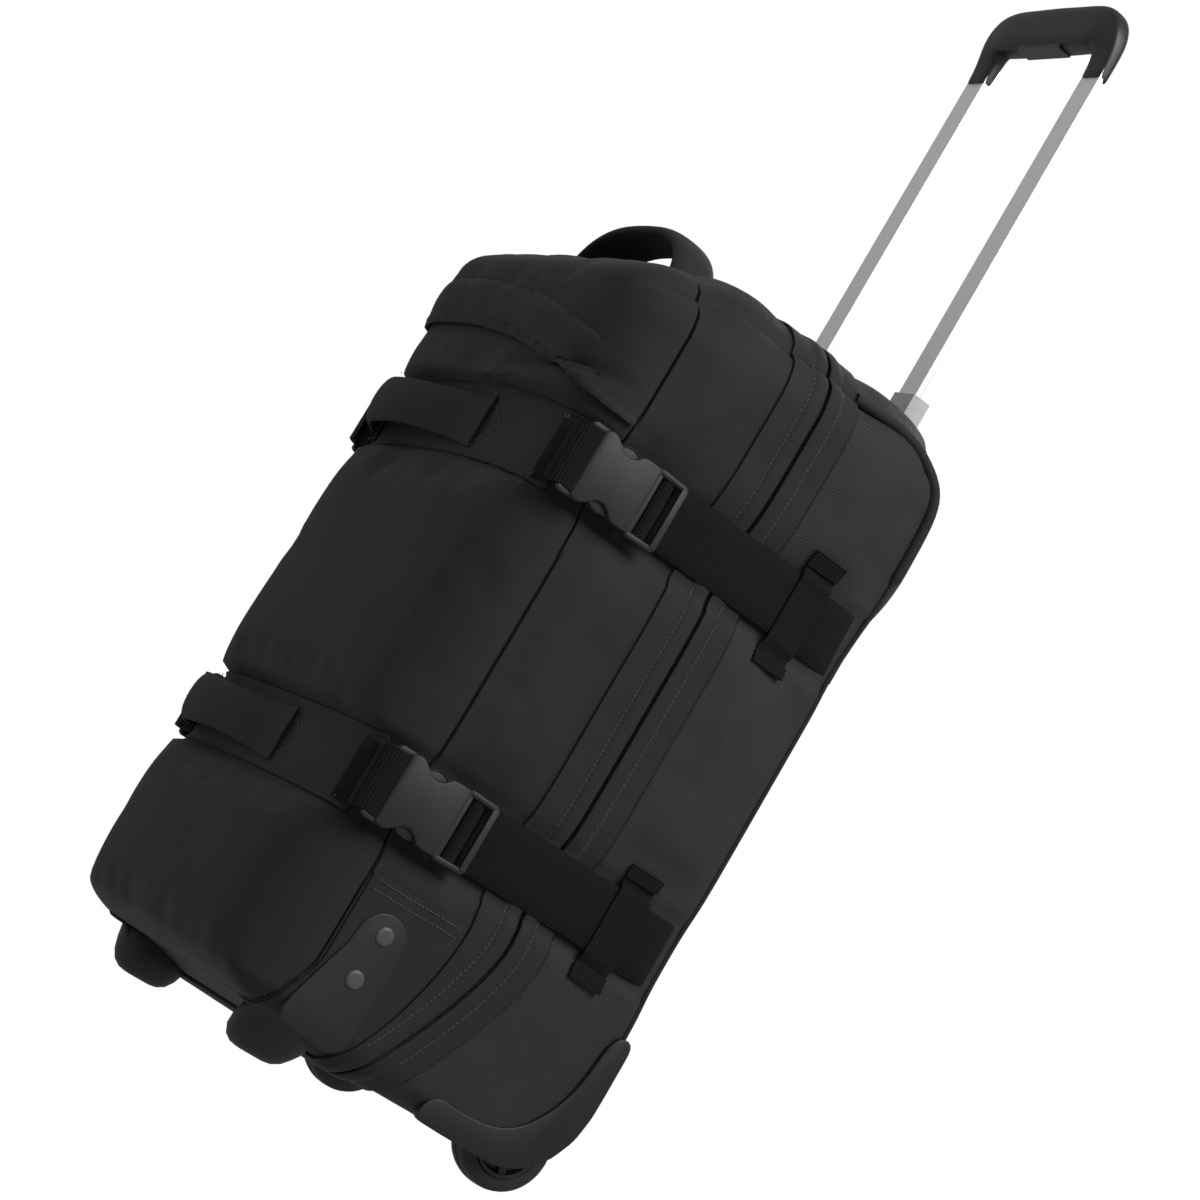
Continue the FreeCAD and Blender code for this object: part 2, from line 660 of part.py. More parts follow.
def frontBands():
    """Each band crosses the pocket, turns both corners and carries a web to each socket."""
    webHalf = size("webWide") / 2
    bandHalf = size("frontBand") / 2
    side = half + size("webThick") + gap * 2
    for level, z in belts.items():
        pieces = [block(f"bandFace_{level}", (-side, bandFace, z - bandHalf),
                        (side, pocketFace, z + bandHalf))]
        for word, sign in sides.items():
            pieces.append(slab(f"bandLeg_{level}_{word}", sign, half, side, bandFace,
                               bandFace + size("bandLeg"), z - bandHalf, z + bandHalf))
            pieces.append(slab(f"bandWeb_{level}_{word}", sign, side,
                               side + size("webThick"), bandFace + size("bandThick"),
                               size("socketFront"), z - webHalf, z + webHalf))
        node(fuse(f"band_{level}", *pieces), f"front_band_{level}")

        left = size("carryLeft")
        right = size("carryRight")
        foot = size("carryFoot")
        outer = bandFace - size("carryRise")
        inner = outer + size("carryThick")
        loop = prism(f"carry_{level}", "XY",
                     [(left, bandFace), (left + foot, outer), (right - foot, outer),
                      (right, bandFace), (right - foot, bandFace), (right - foot * 2, inner),
                      (left + foot * 2, inner), (left + foot, bandFace)],
                     z - size("carryTall") / 2, z + size("carryTall") / 2,
                     (size("carryThick"), (1, 2)))
        node(loop, f"carry_handle_{level}")


def topHandle():
    """A webbing grab handle that arches over the top gusset and seats on its crown."""
    out = size("topHandleHalf")
    top = size("topHandleTop")
    thick = size("topHandleThick")
    low = size("shoulderTop")
    flat = size("topHandleFlat")
    leg = top - size("topHandleLeg")
    loop = prism("topHandleLoop", "XZ",
                 [(-out, low), (-out, leg), (-flat, top), (flat, top), (out, leg), (out, low),
                  (out - thick, low), (out - thick, leg - thick / 2),
                  (flat - thick / 3, top - thick), (thick / 3 - flat, top - thick),
                  (thick - out, leg - thick / 2), (thick - out, low)],
                 size("topHandleY") - size("topHandleWide") / 2,
                 size("topHandleY") + size("topHandleWide") / 2)
    crown = arch("topHandleSeat", front, slitFront, 0)
    node(cut("topHandle", loop, crown), "top_handle")


def check():
    """Stops the build when any object failed or any sub-part has no sound shape."""
    for item in document.Objects:
        if any(word in item.State for word in ("Invalid", "Error")):
            raise RuntimeError(f"{item.Label} failed to recompute")
    for item in nodes:
        if item.Shape.isNull() or not item.Shape.isValid() or not item.Shape.Solids:
            raise RuntimeError(f"{item.Label} has no sound shape")


def write():
    os.makedirs("parts", exist_ok=True)
    for item in nodes:
        item.Shape.exportStep(os.path.join("parts", item.Label + ".step"))
        print(f"{item.Label:32s} {len(item.Shape.Solids)} {item.Shape.Volume / 1000:9.2f} cm3")


tubPanels()
shellPanels()
zips()
trolley()
pullRods()
wheels()
guards()
feet()
straps()
frontBands()
topHandle()
document.recompute()
check()
write()
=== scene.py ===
import math
import bmesh
import bpy
import numpy as np
from mathutils import Matrix, Vector
from mathutils.bvhtree import BVHTree


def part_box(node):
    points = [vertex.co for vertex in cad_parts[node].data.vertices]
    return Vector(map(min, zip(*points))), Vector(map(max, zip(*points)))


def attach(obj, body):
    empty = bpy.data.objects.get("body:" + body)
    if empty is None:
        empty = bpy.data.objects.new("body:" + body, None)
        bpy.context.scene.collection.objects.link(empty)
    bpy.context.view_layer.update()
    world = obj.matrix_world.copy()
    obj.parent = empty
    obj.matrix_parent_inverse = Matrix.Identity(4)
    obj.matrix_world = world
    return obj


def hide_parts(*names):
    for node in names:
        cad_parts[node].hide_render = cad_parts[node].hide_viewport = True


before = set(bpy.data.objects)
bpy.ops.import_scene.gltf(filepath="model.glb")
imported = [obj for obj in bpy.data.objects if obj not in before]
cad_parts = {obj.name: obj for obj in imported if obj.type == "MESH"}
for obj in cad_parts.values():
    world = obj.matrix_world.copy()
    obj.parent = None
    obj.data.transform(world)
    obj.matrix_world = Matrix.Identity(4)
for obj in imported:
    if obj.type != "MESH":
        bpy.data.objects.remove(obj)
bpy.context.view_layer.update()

sides = {"left": -1, "right": 1}
print("frame loaded")


def smooth(t):
    t = np.clip(t, 0, 1)
    return t * t * (3 - 2 * t)


def blunt(value, power):
    # a sine or cosine made fuller, for rounded box sections
    return abs(value) ** power * (1 if value > 0 else -1)


def soften(points, times):
    # evens out a row of points while its ends stay
    for _ in range(times):
        points[1:-1] = (points[:-2] + points[1:-1] * 2 + points[2:]) / 4
    return points


view = {"azimuth": 62.73, "elevation": -8.77, "roll": 30.58, "distance": 2.315,
        "target": (0.015, 0.025, 0.415), "lens": 92.8}


def makeCamera():
    a, e, r = (math.radians(view[k]) for k in ("azimuth", "elevation", "roll"))
    back = Vector((math.sin(a) * math.cos(e), -math.cos(a) * math.cos(e), math.sin(e)))
    right = Vector((math.cos(a), math.sin(a), 0))
    up = back.cross(right)
    rightRolled = right * math.cos(r) + up * math.sin(r)
    upRolled = up * math.cos(r) - right * math.sin(r)
    data = bpy.data.cameras.new("camera")
    data.lens = view["lens"]
    data.clip_end = 50
    camera = bpy.data.objects.new("camera", data)
    bpy.context.collection.objects.link(camera)
    place = Vector(view["target"]) + back * view["distance"]
    turn = Matrix((rightRolled, upRolled, back)).transposed().to_4x4()
    camera.matrix_world = Matrix.Translation(place) @ turn
    bpy.context.scene.camera = camera


def makeLight(name, place, target, size, power):
    data = bpy.data.lights.new(name, "AREA")
    data.size = size
    data.energy = power
    lamp = bpy.data.objects.new(name, data)
    bpy.context.collection.objects.link(lamp)
    lamp.location = place
    lamp.rotation_euler = (Vector(target) - Vector(place)).to_track_quat("-Z", "Y").to_euler()


studio = {
    # place, size, watts
    "lights": {"keyLight": ((2.4, 0.6, 2.4), 1.8, 78), "frontLight": ((-0.8, -2.8, 1.8), 2.2, 3),
               "rimLight": ((-1.6, 2.2, 2.2), 1.6, 22)},
    "middle": (0, 0, 0.45), "ambient": 0.37, "floorHeight": -0.45, "floorHalf": 6,
}


def whiteToCamera(tree, socket):
    # white where the camera sees it, dimmer as light on the bag
    seen = tree.nodes.new("ShaderNodeLightPath")
    level = tree.nodes.new("ShaderNodeMapRange")
    tree.links.new(seen.outputs["Is Camera Ray"], level.inputs["Value"])
    level.inputs["To Min"].default_value = studio["ambient"]
    level.inputs["To Max"].default_value = 1.0
    tree.links.new(level.outputs[0], socket)


def makeStudio():
    makeCamera()
    for name, (place, size, power) in studio["lights"].items():
        makeLight(name, place, studio["middle"], size, power)
    world = bpy.data.worlds.new("studio")
    bpy.context.scene.world = world
    world.use_nodes = True
    backdrop = world.node_tree.nodes["Background"]
    backdrop.inputs["Color"].default_value = (1, 1, 1, 1)
    whiteToCamera(world.node_tree, backdrop.inputs["Strength"])
    bpy.context.scene.view_settings.view_transform = "Standard"
    # a plain pale floor, low enough for the opened front to hang clear of it
    bm = bmesh.new()
    bmesh.ops.create_grid(bm, x_segments=1, y_segments=1, size=studio["floorHalf"])
    bmesh.ops.translate(bm, vec=(0, 0, studio["floorHeight"]), verts=bm.verts[:])
    ground = newObject(bm, "paleFloor")
    pale = bpy.data.materials.new("paleFloor")
    pale.use_nodes = True
    tree = pale.node_tree
    glow = tree.nodes.new("ShaderNodeEmission")
    whiteToCamera(tree, glow.inputs["Strength"])
    tree.links.new(glow.outputs[0], tree.nodes["Material Output"].inputs["Surface"])
    ground.data.materials.append(pale)
    print("studio made")


class newMaterial:
    # a Principled material and short ways to wire nodes into it
    def __init__(self, name, color, roughness, metallic=0.0, **extra):
        self.material = bpy.data.materials.new(name)
        self.material.use_nodes = True
        self.tree = self.material.node_tree
        self.shader = self.tree.nodes["Principled BSDF"]
        self.shader.inputs["Base Color"].default_value = (*color, 1)
        self.shader.inputs["Roughness"].default_value = roughness
        self.shader.inputs["Metallic"].default_value = metallic
        for socket, value in extra.items():
            self.shader.inputs[socket.replace("_", " ")].default_value = value

    def node(self, kind, **values):
        item = self.tree.nodes.new(kind)
        for key, value in values.items():
            if key in item.inputs:
                item.inputs[key].default_value = value
            else:
                setattr(item, key, value)
        return item

    def link(self, a, b):
        self.tree.links.new(a, b)

    def group(self, tree, **values):
        item = self.tree.nodes.new("ShaderNodeGroup")
        item.node_tree = tree
        for key, value in values.items():
            item.inputs[key.replace("_", " ")].default_value = value
        return item

    def bump(self, height, strength, distance):
        item = self.node("ShaderNodeBump")
        item.inputs["Strength"].default_value = strength
        item.inputs["Distance"].default_value = distance
        self.link(height, item.inputs["Height"])
        self.link(item.outputs[0], self.shader.inputs["Normal"])


def makeGroup(name, inputs, outputs):
    tree = bpy.data.node_groups.new(name, "ShaderNodeTree")
    for label, kind, value in inputs:
        socket = tree.interface.new_socket(label, in_out="INPUT", socket_type=kind)
        if value is not None:
            socket.default_value = value
    for label, kind in outputs:
        tree.interface.new_socket(label, in_out="OUTPUT", socket_type=kind)
    return tree, tree.nodes.new("NodeGroupInput"), tree.nodes.new("NodeGroupOutput")


def calc(tree, operation, a, b=None):
    item = tree.nodes.new("ShaderNodeMath")
    item.operation = operation
    for index, value in enumerate((a, b)):
        if value is None:
            continue
        if isinstance(value, (int, float)):
            item.inputs[index].default_value = value
        else:
            tree.links.new(value, item.inputs[index])
    return item.outputs[0]


def makeWeaveGroup():
    # Woven cloth: crossing threads turned by Angle; Height rises on each thread, Shade varies.
    tree, inside, out = makeGroup(
        "clothWeave",
        [("Vector", "NodeSocketVector", None), ("Angle", "NodeSocketFloat", 0.0),
         ("Threads", "NodeSocketFloat", 1500.0), ("Ribs", "NodeSocketFloat", 0.0)],
        [("Height", "NodeSocketFloat"), ("Shade", "NodeSocketFloat")])
    turn = tree.nodes.new("ShaderNodeVectorRotate")
    turn.rotation_type = "Z_AXIS"
    tree.links.new(inside.outputs["Vector"], turn.inputs["Vector"])
    tree.links.new(inside.outputs["Angle"], turn.inputs["Angle"])
    split = tree.nodes.new("ShaderNodeSeparateXYZ")
    tree.links.new(turn.outputs[0], split.inputs[0])
    waves = [calc(tree, "SINE", calc(tree, "MULTIPLY", split.outputs[k], inside.outputs["Threads"]))
             for k in (0, 1)]
    crossing = calc(tree, "MULTIPLY", waves[0], waves[1])
    ribbed = calc(tree, "MULTIPLY", waves[0], inside.outputs["Ribs"])
    plain = calc(tree, "MULTIPLY", crossing, calc(tree, "SUBTRACT", 1.0, inside.outputs["Ribs"]))
    total = calc(tree, "ADD", ribbed, plain)
    height = calc(tree, "MULTIPLY_ADD", total, 0.5)
    height.node.inputs[2].default_value = 0.5
    tree.links.new(height, out.inputs["Height"])
    cloud = tree.nodes.new("ShaderNodeTexNoise")
    cloud.inputs["Scale"].default_value = 14.0
    cloud.inputs["Detail"].default_value = 3.0
    tree.links.new(inside.outputs["Vector"], cloud.inputs["Vector"])
    tree.links.new(cloud.outputs["Fac"], out.inputs["Shade"])
    return tree


def makeGrainGroup():
    # Moulded plastic: fine spark texture and a slow drift in gloss.
    tree, inside, out = makeGroup(
        "mouldGrain", [("Vector", "NodeSocketVector", None), ("Scale", "NodeSocketFloat", 900.0)],
        [("Height", "NodeSocketFloat"), ("Drift", "NodeSocketFloat")])
    grain = tree.nodes.new("ShaderNodeTexNoise")
    tree.links.new(inside.outputs["Vector"], grain.inputs["Vector"])
    tree.links.new(inside.outputs["Scale"], grain.inputs["Scale"])
    grain.inputs["Detail"].default_value = 2.0
    tree.links.new(grain.outputs["Fac"], out.inputs["Height"])
    drift = tree.nodes.new("ShaderNodeTexNoise")
    tree.links.new(inside.outputs["Vector"], drift.inputs["Vector"])
    drift.inputs["Scale"].default_value = 25.0
    drift.inputs["Detail"].default_value = 4.0
    tree.links.new(drift.outputs["Fac"], out.inputs["Drift"])
    return tree


def makeWearGroup():
    # Edge wear: convex edges read a little lighter, broken up by noise.
    tree, inside, out = makeGroup(
        "edgeWear", [("Vector", "NodeSocketVector", None), ("Reach", "NodeSocketFloat", 0.5)],
        [("Mask", "NodeSocketFloat")])
    shape = tree.nodes.new("ShaderNodeNewGeometry")
    edge = calc(tree, "SUBTRACT", shape.outputs["Pointiness"], inside.outputs["Reach"])
    edge = calc(tree, "MULTIPLY", edge, 9.0)
    speckle = tree.nodes.new("ShaderNodeTexNoise")
    speckle.inputs["Scale"].default_value = 160.0
    tree.links.new(inside.outputs["Vector"], speckle.inputs["Vector"])
    mask = calc(tree, "MULTIPLY", edge, speckle.outputs["Fac"])
    mask.node.use_clamp = True
    tree.links.new(mask, out.inputs["Mask"])
    return tree


groups = {"weave": makeWeaveGroup(), "grain": makeGrainGroup(), "wear": makeWearGroup()}


def ramp(item, source, low, high):
    # linear mix of two colours by a mask
    mix = item.node("ShaderNodeMix", data_type="RGBA")
    mix.inputs[6].default_value = (*low, 1)
    mix.inputs[7].default_value = (*high, 1)
    item.link(source, mix.inputs[0])
    return mix.outputs[2]


def spanned(item, source, low, high):
    # maps 0..1 to low..high
    scale = item.node("ShaderNodeMapRange")
    item.link(source, scale.inputs["Value"])
    scale.inputs["To Min"].default_value = low
    scale.inputs["To Max"].default_value = high
    return scale.outputs[0]


def fabricMaterial(name, dark, light, angle, threads, ribs, depth, rough, shine=0.22):
    item = newMaterial(name, color=dark, roughness=rough[1], Sheen_Weight=0.03,
                       Sheen_Roughness=0.6, Specular_IOR_Level=shine)
    place = item.node("ShaderNodeUVMap", uv_map="cloth")
    weave = item.group(groups["weave"], Angle=angle, Threads=threads, Ribs=ribs)
    item.link(place.outputs[0], weave.inputs["Vector"])
    blend = item.node("ShaderNodeMath", operation="MULTIPLY_ADD")
    item.link(weave.outputs["Height"], blend.inputs[0])
    blend.inputs[1].default_value = 0.6
    tone = item.node("ShaderNodeMath", operation="MULTIPLY")
    item.link(weave.outputs["Shade"], tone.inputs[0])
    tone.inputs[1].default_value = 0.4
    item.link(tone.outputs[0], blend.inputs[2])
    item.link(ramp(item, blend.outputs[0], dark, light), item.shader.inputs["Base Color"])
    item.link(spanned(item, weave.outputs["Shade"], *rough), item.shader.inputs["Roughness"])
    item.bump(weave.outputs["Height"], 0.6, depth)
    return item.material


def plasticMaterial(name, color, worn, rough, grain=900.0, depth=0.00006, wearReach=0.5):
    item = newMaterial(name, color=color, roughness=rough[0], Specular_IOR_Level=0.5)
    place = item.node("ShaderNodeTexCoord")
    mould = item.group(groups["grain"], Scale=grain)
    item.link(place.outputs["Object"], mould.inputs["Vector"])
    wear = item.group(groups["wear"], Reach=wearReach)
    item.link(place.outputs["Object"], wear.inputs["Vector"])
    item.link(ramp(item, wear.outputs["Mask"], color, worn), item.shader.inputs["Base Color"])
    item.link(spanned(item, mould.outputs["Drift"], *rough), item.shader.inputs["Roughness"])
    item.bump(mould.outputs["Height"], 0.5, depth)
    return item.material


def metalMaterial(name, color, rough, stretch, metallic=1.0):
    # drawn metal: long fine lines along Z
    item = newMaterial(name, color=color, roughness=rough[0], metallic=metallic)
    place = item.node("ShaderNodeTexCoord")
    squeeze = item.node("ShaderNodeMapping")
    squeeze.inputs["Scale"].default_value = stretch
    item.link(place.outputs["Object"], squeeze.inputs["Vector"])
    mould = item.group(groups["grain"], Scale=1.0)
    item.link(squeeze.outputs[0], mould.inputs["Vector"])
    item.link(spanned(item, mould.outputs["Height"], *rough), item.shader.inputs["Roughness"])
    low = tuple(c * 0.93 for c in color)
    item.link(ramp(item, mould.outputs["Height"], low, color), item.shader.inputs["Base Color"])
    return item.material


paints = {
    "smooth": fabricMaterial("smoothFabric", (0.0130, 0.0130, 0.0130), (0.0185, 0.0185, 0.0185),
                             0.0, 5200.0, 0.0, 0.00012, (0.62, 0.82)),
    "twill": fabricMaterial("twillFabric", (0.0090, 0.0090, 0.0090), (0.036, 0.036, 0.036),
                            0.62, 2600.0, 0.8, 0.0004, (0.6, 0.8)),
    "webbing": fabricMaterial("ribbedWebbing", (0.0012, 0.0012, 0.0011), (0.0130, 0.0130, 0.0122),
                              0.0, 2700.0, 0.92, 0.0006, (0.7, 0.85), shine=0.08),
    "thread": plasticMaterial("stitchThread", (0.085, 0.085, 0.085), (0.12, 0.12, 0.12),
                              (0.6, 0.75), grain=2500.0),
    "collar": plasticMaterial("greyCollar", (0.42, 0.42, 0.41), (0.6, 0.6, 0.59), (0.3, 0.42),
                              wearReach=0.53),
    "moulded": plasticMaterial("mouldedBlack", (0.0048, 0.0047, 0.0045), (0.020, 0.0196, 0.019),
                               (0.50, 0.62), wearReach=0.52),
    "buckle": plasticMaterial("buckleAcetal", (0.0085, 0.0085, 0.0082), (0.036, 0.036, 0.035),
                              (0.52, 0.62), grain=1400.0, depth=0.00004, wearReach=0.52),
    "grip": plasticMaterial("gripMoulding", (0.009, 0.0093, 0.0095), (0.028, 0.028, 0.029),
                            (0.38, 0.5), wearReach=0.53),
    "rubber": plasticMaterial("tyreRubber", (0.012, 0.012, 0.012), (0.035, 0.035, 0.034),
                              (0.6, 0.8), grain=500.0, depth=0.0001),
    "rivet": plasticMaterial("rivetHead", (0.062, 0.062, 0.062), (0.12, 0.12, 0.12),
                             (0.36, 0.5)),
    "aluminium": metalMaterial("satinAluminium", (0.90, 0.90, 0.895), (0.30, 0.42),
                               (900, 900, 4), metallic=0.35),
    "steel": metalMaterial("platedSteel", (0.55, 0.55, 0.56), (0.3, 0.45), (600, 600, 600)),
    "zip": plasticMaterial("coilZip", (0.008, 0.008, 0.008), (0.03, 0.03, 0.03), (0.4, 0.55)),
    "lining": fabricMaterial("liningFabric", (0.05, 0.05, 0.052), (0.075, 0.075, 0.078),
                             0.0, 3600.0, 0.0, 0.00015, (0.6, 0.75)),
}
print("materials made")


def newObject(bm, name):
    mesh = bpy.data.meshes.new(name)
    bm.to_mesh(mesh)
    bm.free()
    item = bpy.data.objects.new(name, mesh)
    bpy.context.collection.objects.link(item)
    return item


def boxUv(mesh, name="cloth"):
    # lays the cloth map flat from whichever axis each face looks along, in metres
    layer = mesh.uv_layers.new(name=name)
    count = len(mesh.vertices)
    co = np.empty(count * 3)
    mesh.vertices.foreach_get("co", co)
    co = co.reshape(-1, 3)
    corners = np.empty(len(mesh.loops), dtype=np.int32)
    mesh.loops.foreach_get("vertex_index", corners)
    normals = np.empty(len(mesh.polygons) * 3)
    mesh.polygons.foreach_get("normal", normals)
    axis = np.argmax(np.abs(normals.reshape(-1, 3)) * (1.0, 1.0, 0.9), axis=1)
    totals = np.empty(len(mesh.polygons), dtype=np.int32)
    mesh.polygons.foreach_get("loop_total", totals)
    axis = np.repeat(axis, totals)
    points = co[corners]
    u = np.where(axis == 0, points[:, 1], points[:, 0])
    v = np.where(axis == 2, points[:, 1], points[:, 2])
    layer.data.foreach_set("uv", np.stack((u, v), axis=1).ravel())


def dress(item, body, paint, replaces=(), smoothAngle=40, uv=True, extraPaints=()):
    # the shared finish of every piece
    for key in (paint, *extraPaints):
        item.data.materials.append(paints[key])
    if uv and not item.data.uv_layers:
        boxUv(item.data)
    item.data.shade_smooth()
    if smoothAngle:
        item.data.set_sharp_from_angle(angle=math.radians(smoothAngle))
    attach(item, body)
    if replaces:
        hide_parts(*replaces)
    return item


def addModifier(item, kind, **values):
    modifier = item.modifiers.new(kind.lower(), kind)
    for key, value in values.items():
        setattr(modifier, key, value)
    return modifier


bag = {
    "halfWide": 0.1665, "front": -0.128, "back": 0.1465, "base": 0.020, "top": 0.628,
    "frontRound": 0.024, "backRound": 0.017, "heelRound": 0.05, "shoulder": 0.046,
    "rearTop": 0.040, "rearFlat": 0.105, "crown": 0.024, "browDrop": 0.014,
    "frontBulge": 0.016, "pillow": 0.0045, "belly": 0.008,
    "belts": (0.462, 0.202), "bandHalf": 0.031, "bandEdge": 0.007, "bandDepth": 0.010,
    "webDepth": 0.0025, "sideBulge": 0.004, "backBulge": 0.015, "spacing": 0.0042,
}


def slitLine(z):
    # y of the zip opening at each height
    z = np.asarray(z, dtype=float)
    lower = -0.0575 * np.clip((0.152 - z) / 0.132, 0, 1) ** 1.5
    return 0.0195 + lower


def frontSeam(z):
    # y of the seam between the front panel and the gusset
    z = np.asarray(z, dtype=float)
    return -0.099 - 0.018 * smooth((0.085 - z) / 0.06)


def flapSeam(z):
    # y of the seam where the zip flap is sewn to the gusset
    z = np.asarray(z, dtype=float)
    return slitLine(z) - 0.017 - 0.017 * smooth((z - 0.03) / 0.15)


def rearSeam(z):
    return slitLine(z) + 0.030


def beltHeight(level, x):
    # the belts rise a little in the middle and slope down to the right
    lift = 0.010 * (1 - np.clip(np.abs(x) / bag["halfWide"], 0, 1) ** 2) - 0.02 * x
    return bag["belts"][level] + (lift if level == 0 else lift * 0.15)


def yokeHem(x):
    # z of the lower edge of the overlay that covers the top of the front
    x = np.asarray(x, dtype=float)
    return 0.5393 - 0.1133 * x - 0.695 * x ** 2


def roundCorner(p, axisA, middleA, axisB, middleB, chosen):
    # turns the square corner beyond (middleA, middleB) into a quarter round
    a, b = p[:, axisA[0]] * axisA[1] - middleA, p[:, axisB[0]] * axisB[1] - middleB
    reach = np.maximum(np.hypot(a, b), 1e-9)
    scale = np.where(chosen & (a > 0) & (b > 0), np.maximum(a, b) / reach, 1.0)
    p[:, axisA[0]] = (middleA + a * scale) * axisA[1]
    p[:, axisB[0]] = (middleB + b * scale) * axisB[1]


def bagForm(q):
    # q: points on the plain box; returns points on the stuffed bag
    r = bag["frontRound"] + (bag["backRound"] - bag["frontRound"]) * smooth(
        (q[:, 1] - bag["front"]) / (bag["back"] - bag["front"]))
    low = np.stack((-bag["halfWide"] + r, bag["front"] + r, bag["base"] + r), axis=1)
    high = np.stack((bag["halfWide"] - r, bag["back"] - r, bag["top"] - r), axis=1)
    inner = np.clip(q, low, high)
    out = q - inner
    normal = out / np.maximum(np.linalg.norm(out, axis=1, keepdims=True), 1e-9)
    p = inner + normal * r[:, None]
    everywhere = np.ones(len(p), dtype=bool)
    heel, shoulder = bag["heelRound"], bag["shoulder"]
    roundCorner(p, (1, 1), bag["back"] - heel, (2, -1), -bag["base"] - heel, everywhere)
    # the rear top corner is round at the sides and fuller in the middle, under the collars
    full = p.copy()
    roundCorner(p, (1, 1), bag["back"] - bag["rearTop"], (2, 1), bag["top"] - bag["rearTop"],
                everywhere)
    outer = smooth((np.abs(q[:, 0]) - bag["rearFlat"]) / 0.045)[:, None]
    p[:] = full * (1 - outer) + p * outer
    for way in (-1, 1):
        roundCorner(p, (0, way), bag["halfWide"] - shoulder, (2, 1), bag["top"] - shoulder,
                    p[:, 0] * way > 0)

    x, y, z = p.T.copy()
    side = np.clip(np.abs(normal[:, 0]), 0, 1)
    face = np.clip(-normal[:, 1], 0, 1)
    rear = np.clip(normal[:, 1], 0, 1)
    ratio = np.clip(np.abs(x) / bag["halfWide"], 0, 1)
    lifted = smooth((z - 0.46) / 0.17)
    rise = bag["crown"] * (1 - ratio ** 2) * lifted * smooth((y + 0.14) / 0.08)
    rise -= bag["browDrop"] * smooth((-0.03 - y) / 0.10) * lifted
    rise += (0.0005 + 0.0105 * smooth((-0.045 - y) / 0.06)) * smooth((0.07 - z) / 0.05)

    def inBelt(level):
        away = np.abs(z - beltHeight(level, x))
        return 1 - smooth((away - bag["bandHalf"] + bag["bandEdge"] * 0.3) / bag["bandEdge"])

    belt = np.maximum(inBelt(0), inBelt(1))
    top, bottom = bag["belts"]
    half = bag["bandHalf"]
    pillows = [(bag["base"], bottom - half), (bottom + half, top - half), (top + 0.033, 0.66)]
    crest = np.zeros_like(z)
    for start, end in pillows:
        t = np.clip((z - (start + end) / 2) / ((end - start) / 2), -1, 1)
        crest = np.maximum(crest, 1 - t ** 6)
    crest *= 1 - belt
    across = 1 - ratio ** 4
    outFront = face * (bag["frontBulge"] * (1 - ratio ** 9) + bag["pillow"] * crest * across)
    outFront += face * bag["belly"] * np.exp(-((z - 0.15) / 0.16) ** 2) * (1 - 0.5 * ratio ** 2)
    outFront -= face * belt * bag["bandDepth"]
    # soft creases under the yoke's hem
    fold = z - (0.508 - 0.18 * (x - 0.06) ** 2 + 0.05 * (x - 0.06))
    outFront += face * 0.0045 * np.exp(-(fold / 0.010) ** 2) * smooth((x + 0.10) / 0.10)
    outFront -= face * 0.0035 * np.exp(-((fold - 0.016) / 0.006) ** 2) * smooth((x - 0.02) / 0.05)
    depthRatio = np.clip(1 - np.abs(y) / 0.13, 0, 1)
    outSide = side * (bag["sideBulge"] * crest * smooth(depthRatio * 2) - belt * bag["webDepth"])
    bulgeBack = np.exp(-((z - 0.535) / 0.065) ** 2) + 0.15 * crest
    outRear = rear * bag["backBulge"] * bulgeBack * (1 - 0.12 * ratio)
    p[:, 1] += -outFront + outRear
    p[:, 0] += np.sign(x) * outSide
    p[:, 2] += rise
    return p


def boxForm():
    # a plain closed box with an even grid, then shaped
    sizes = (bag["halfWide"] * 2, bag["back"] - bag["front"], bag["top"] - bag["base"])
    middle = (0, (bag["back"] + bag["front"]) / 2, (bag["top"] + bag["base"]) / 2)
    bm = bmesh.new()
    bmesh.ops.create_cube(bm, size=1.0)
    for axis, length in enumerate(sizes):
        edges = [e for e in bm.edges
                 if abs((e.verts[0].co - e.verts[1].co).normalized()[axis]) > 0.9]
        bmesh.ops.subdivide_edges(bm, edges=edges, cuts=round(length / bag["spacing"]) - 1,
                                  use_grid_fill=True)
    q = np.array([v.co for v in bm.verts]) * sizes + middle
    p = bagForm(q)
    for vert, place in zip(bm.verts, p):
        vert.co = place
    return bm


settle = {
    "pressure": 4.0, "grow": 0.028, "frames": 20, "bending": 0.4,
    "cap": 0.0055,  # the furthest that the cloth may move, in metres
    "calm": 14, "crisp": 0.12,  # rounds of evening out, and the share of fine creases kept
}


def heldWeights(p):
    # how firmly each point of the cloth is held: seams, belts, board and corners stay put
    x, y, z = p.T
    hold = np.zeros(len(p))

    def near(away, width, soft=0.008):
        return 1 - smooth((np.abs(away) - width) / soft)

    for level in (0, 1):
        hold = np.maximum(hold, near(z - beltHeight(level, x), 0.031, 0.006))
    hold = np.maximum(hold, near(y - slitLine(z), 0.012))
    hold = np.maximum(hold, near(y - frontSeam(z), 0.002, 0.005))
    hold = np.maximum(hold, near(y - rearSeam(z), 0.002, 0.005))
    hold = np.maximum(hold, near(y - flapSeam(z), 0.002, 0.005))
    onFront = smooth((frontSeam(z) - y) / 0.01)
    hold = np.maximum(hold, onFront * near(z - yokeHem(x), 0.004, 0.008))
    hold = np.maximum(hold, smooth((0.045 - z) / 0.01))
    hold = np.maximum(hold, smooth((y - 0.130) / 0.008))
    hold = np.maximum(hold, smooth((y - 0.012) / 0.01) * smooth((0.150 - z) / 0.01))
    footing = near(y + 0.078, 0.034, 0.012) * smooth((0.146 - z) / 0.012)
    hold = np.maximum(hold, footing * smooth((np.abs(x) - 0.130) / 0.015))
    return hold


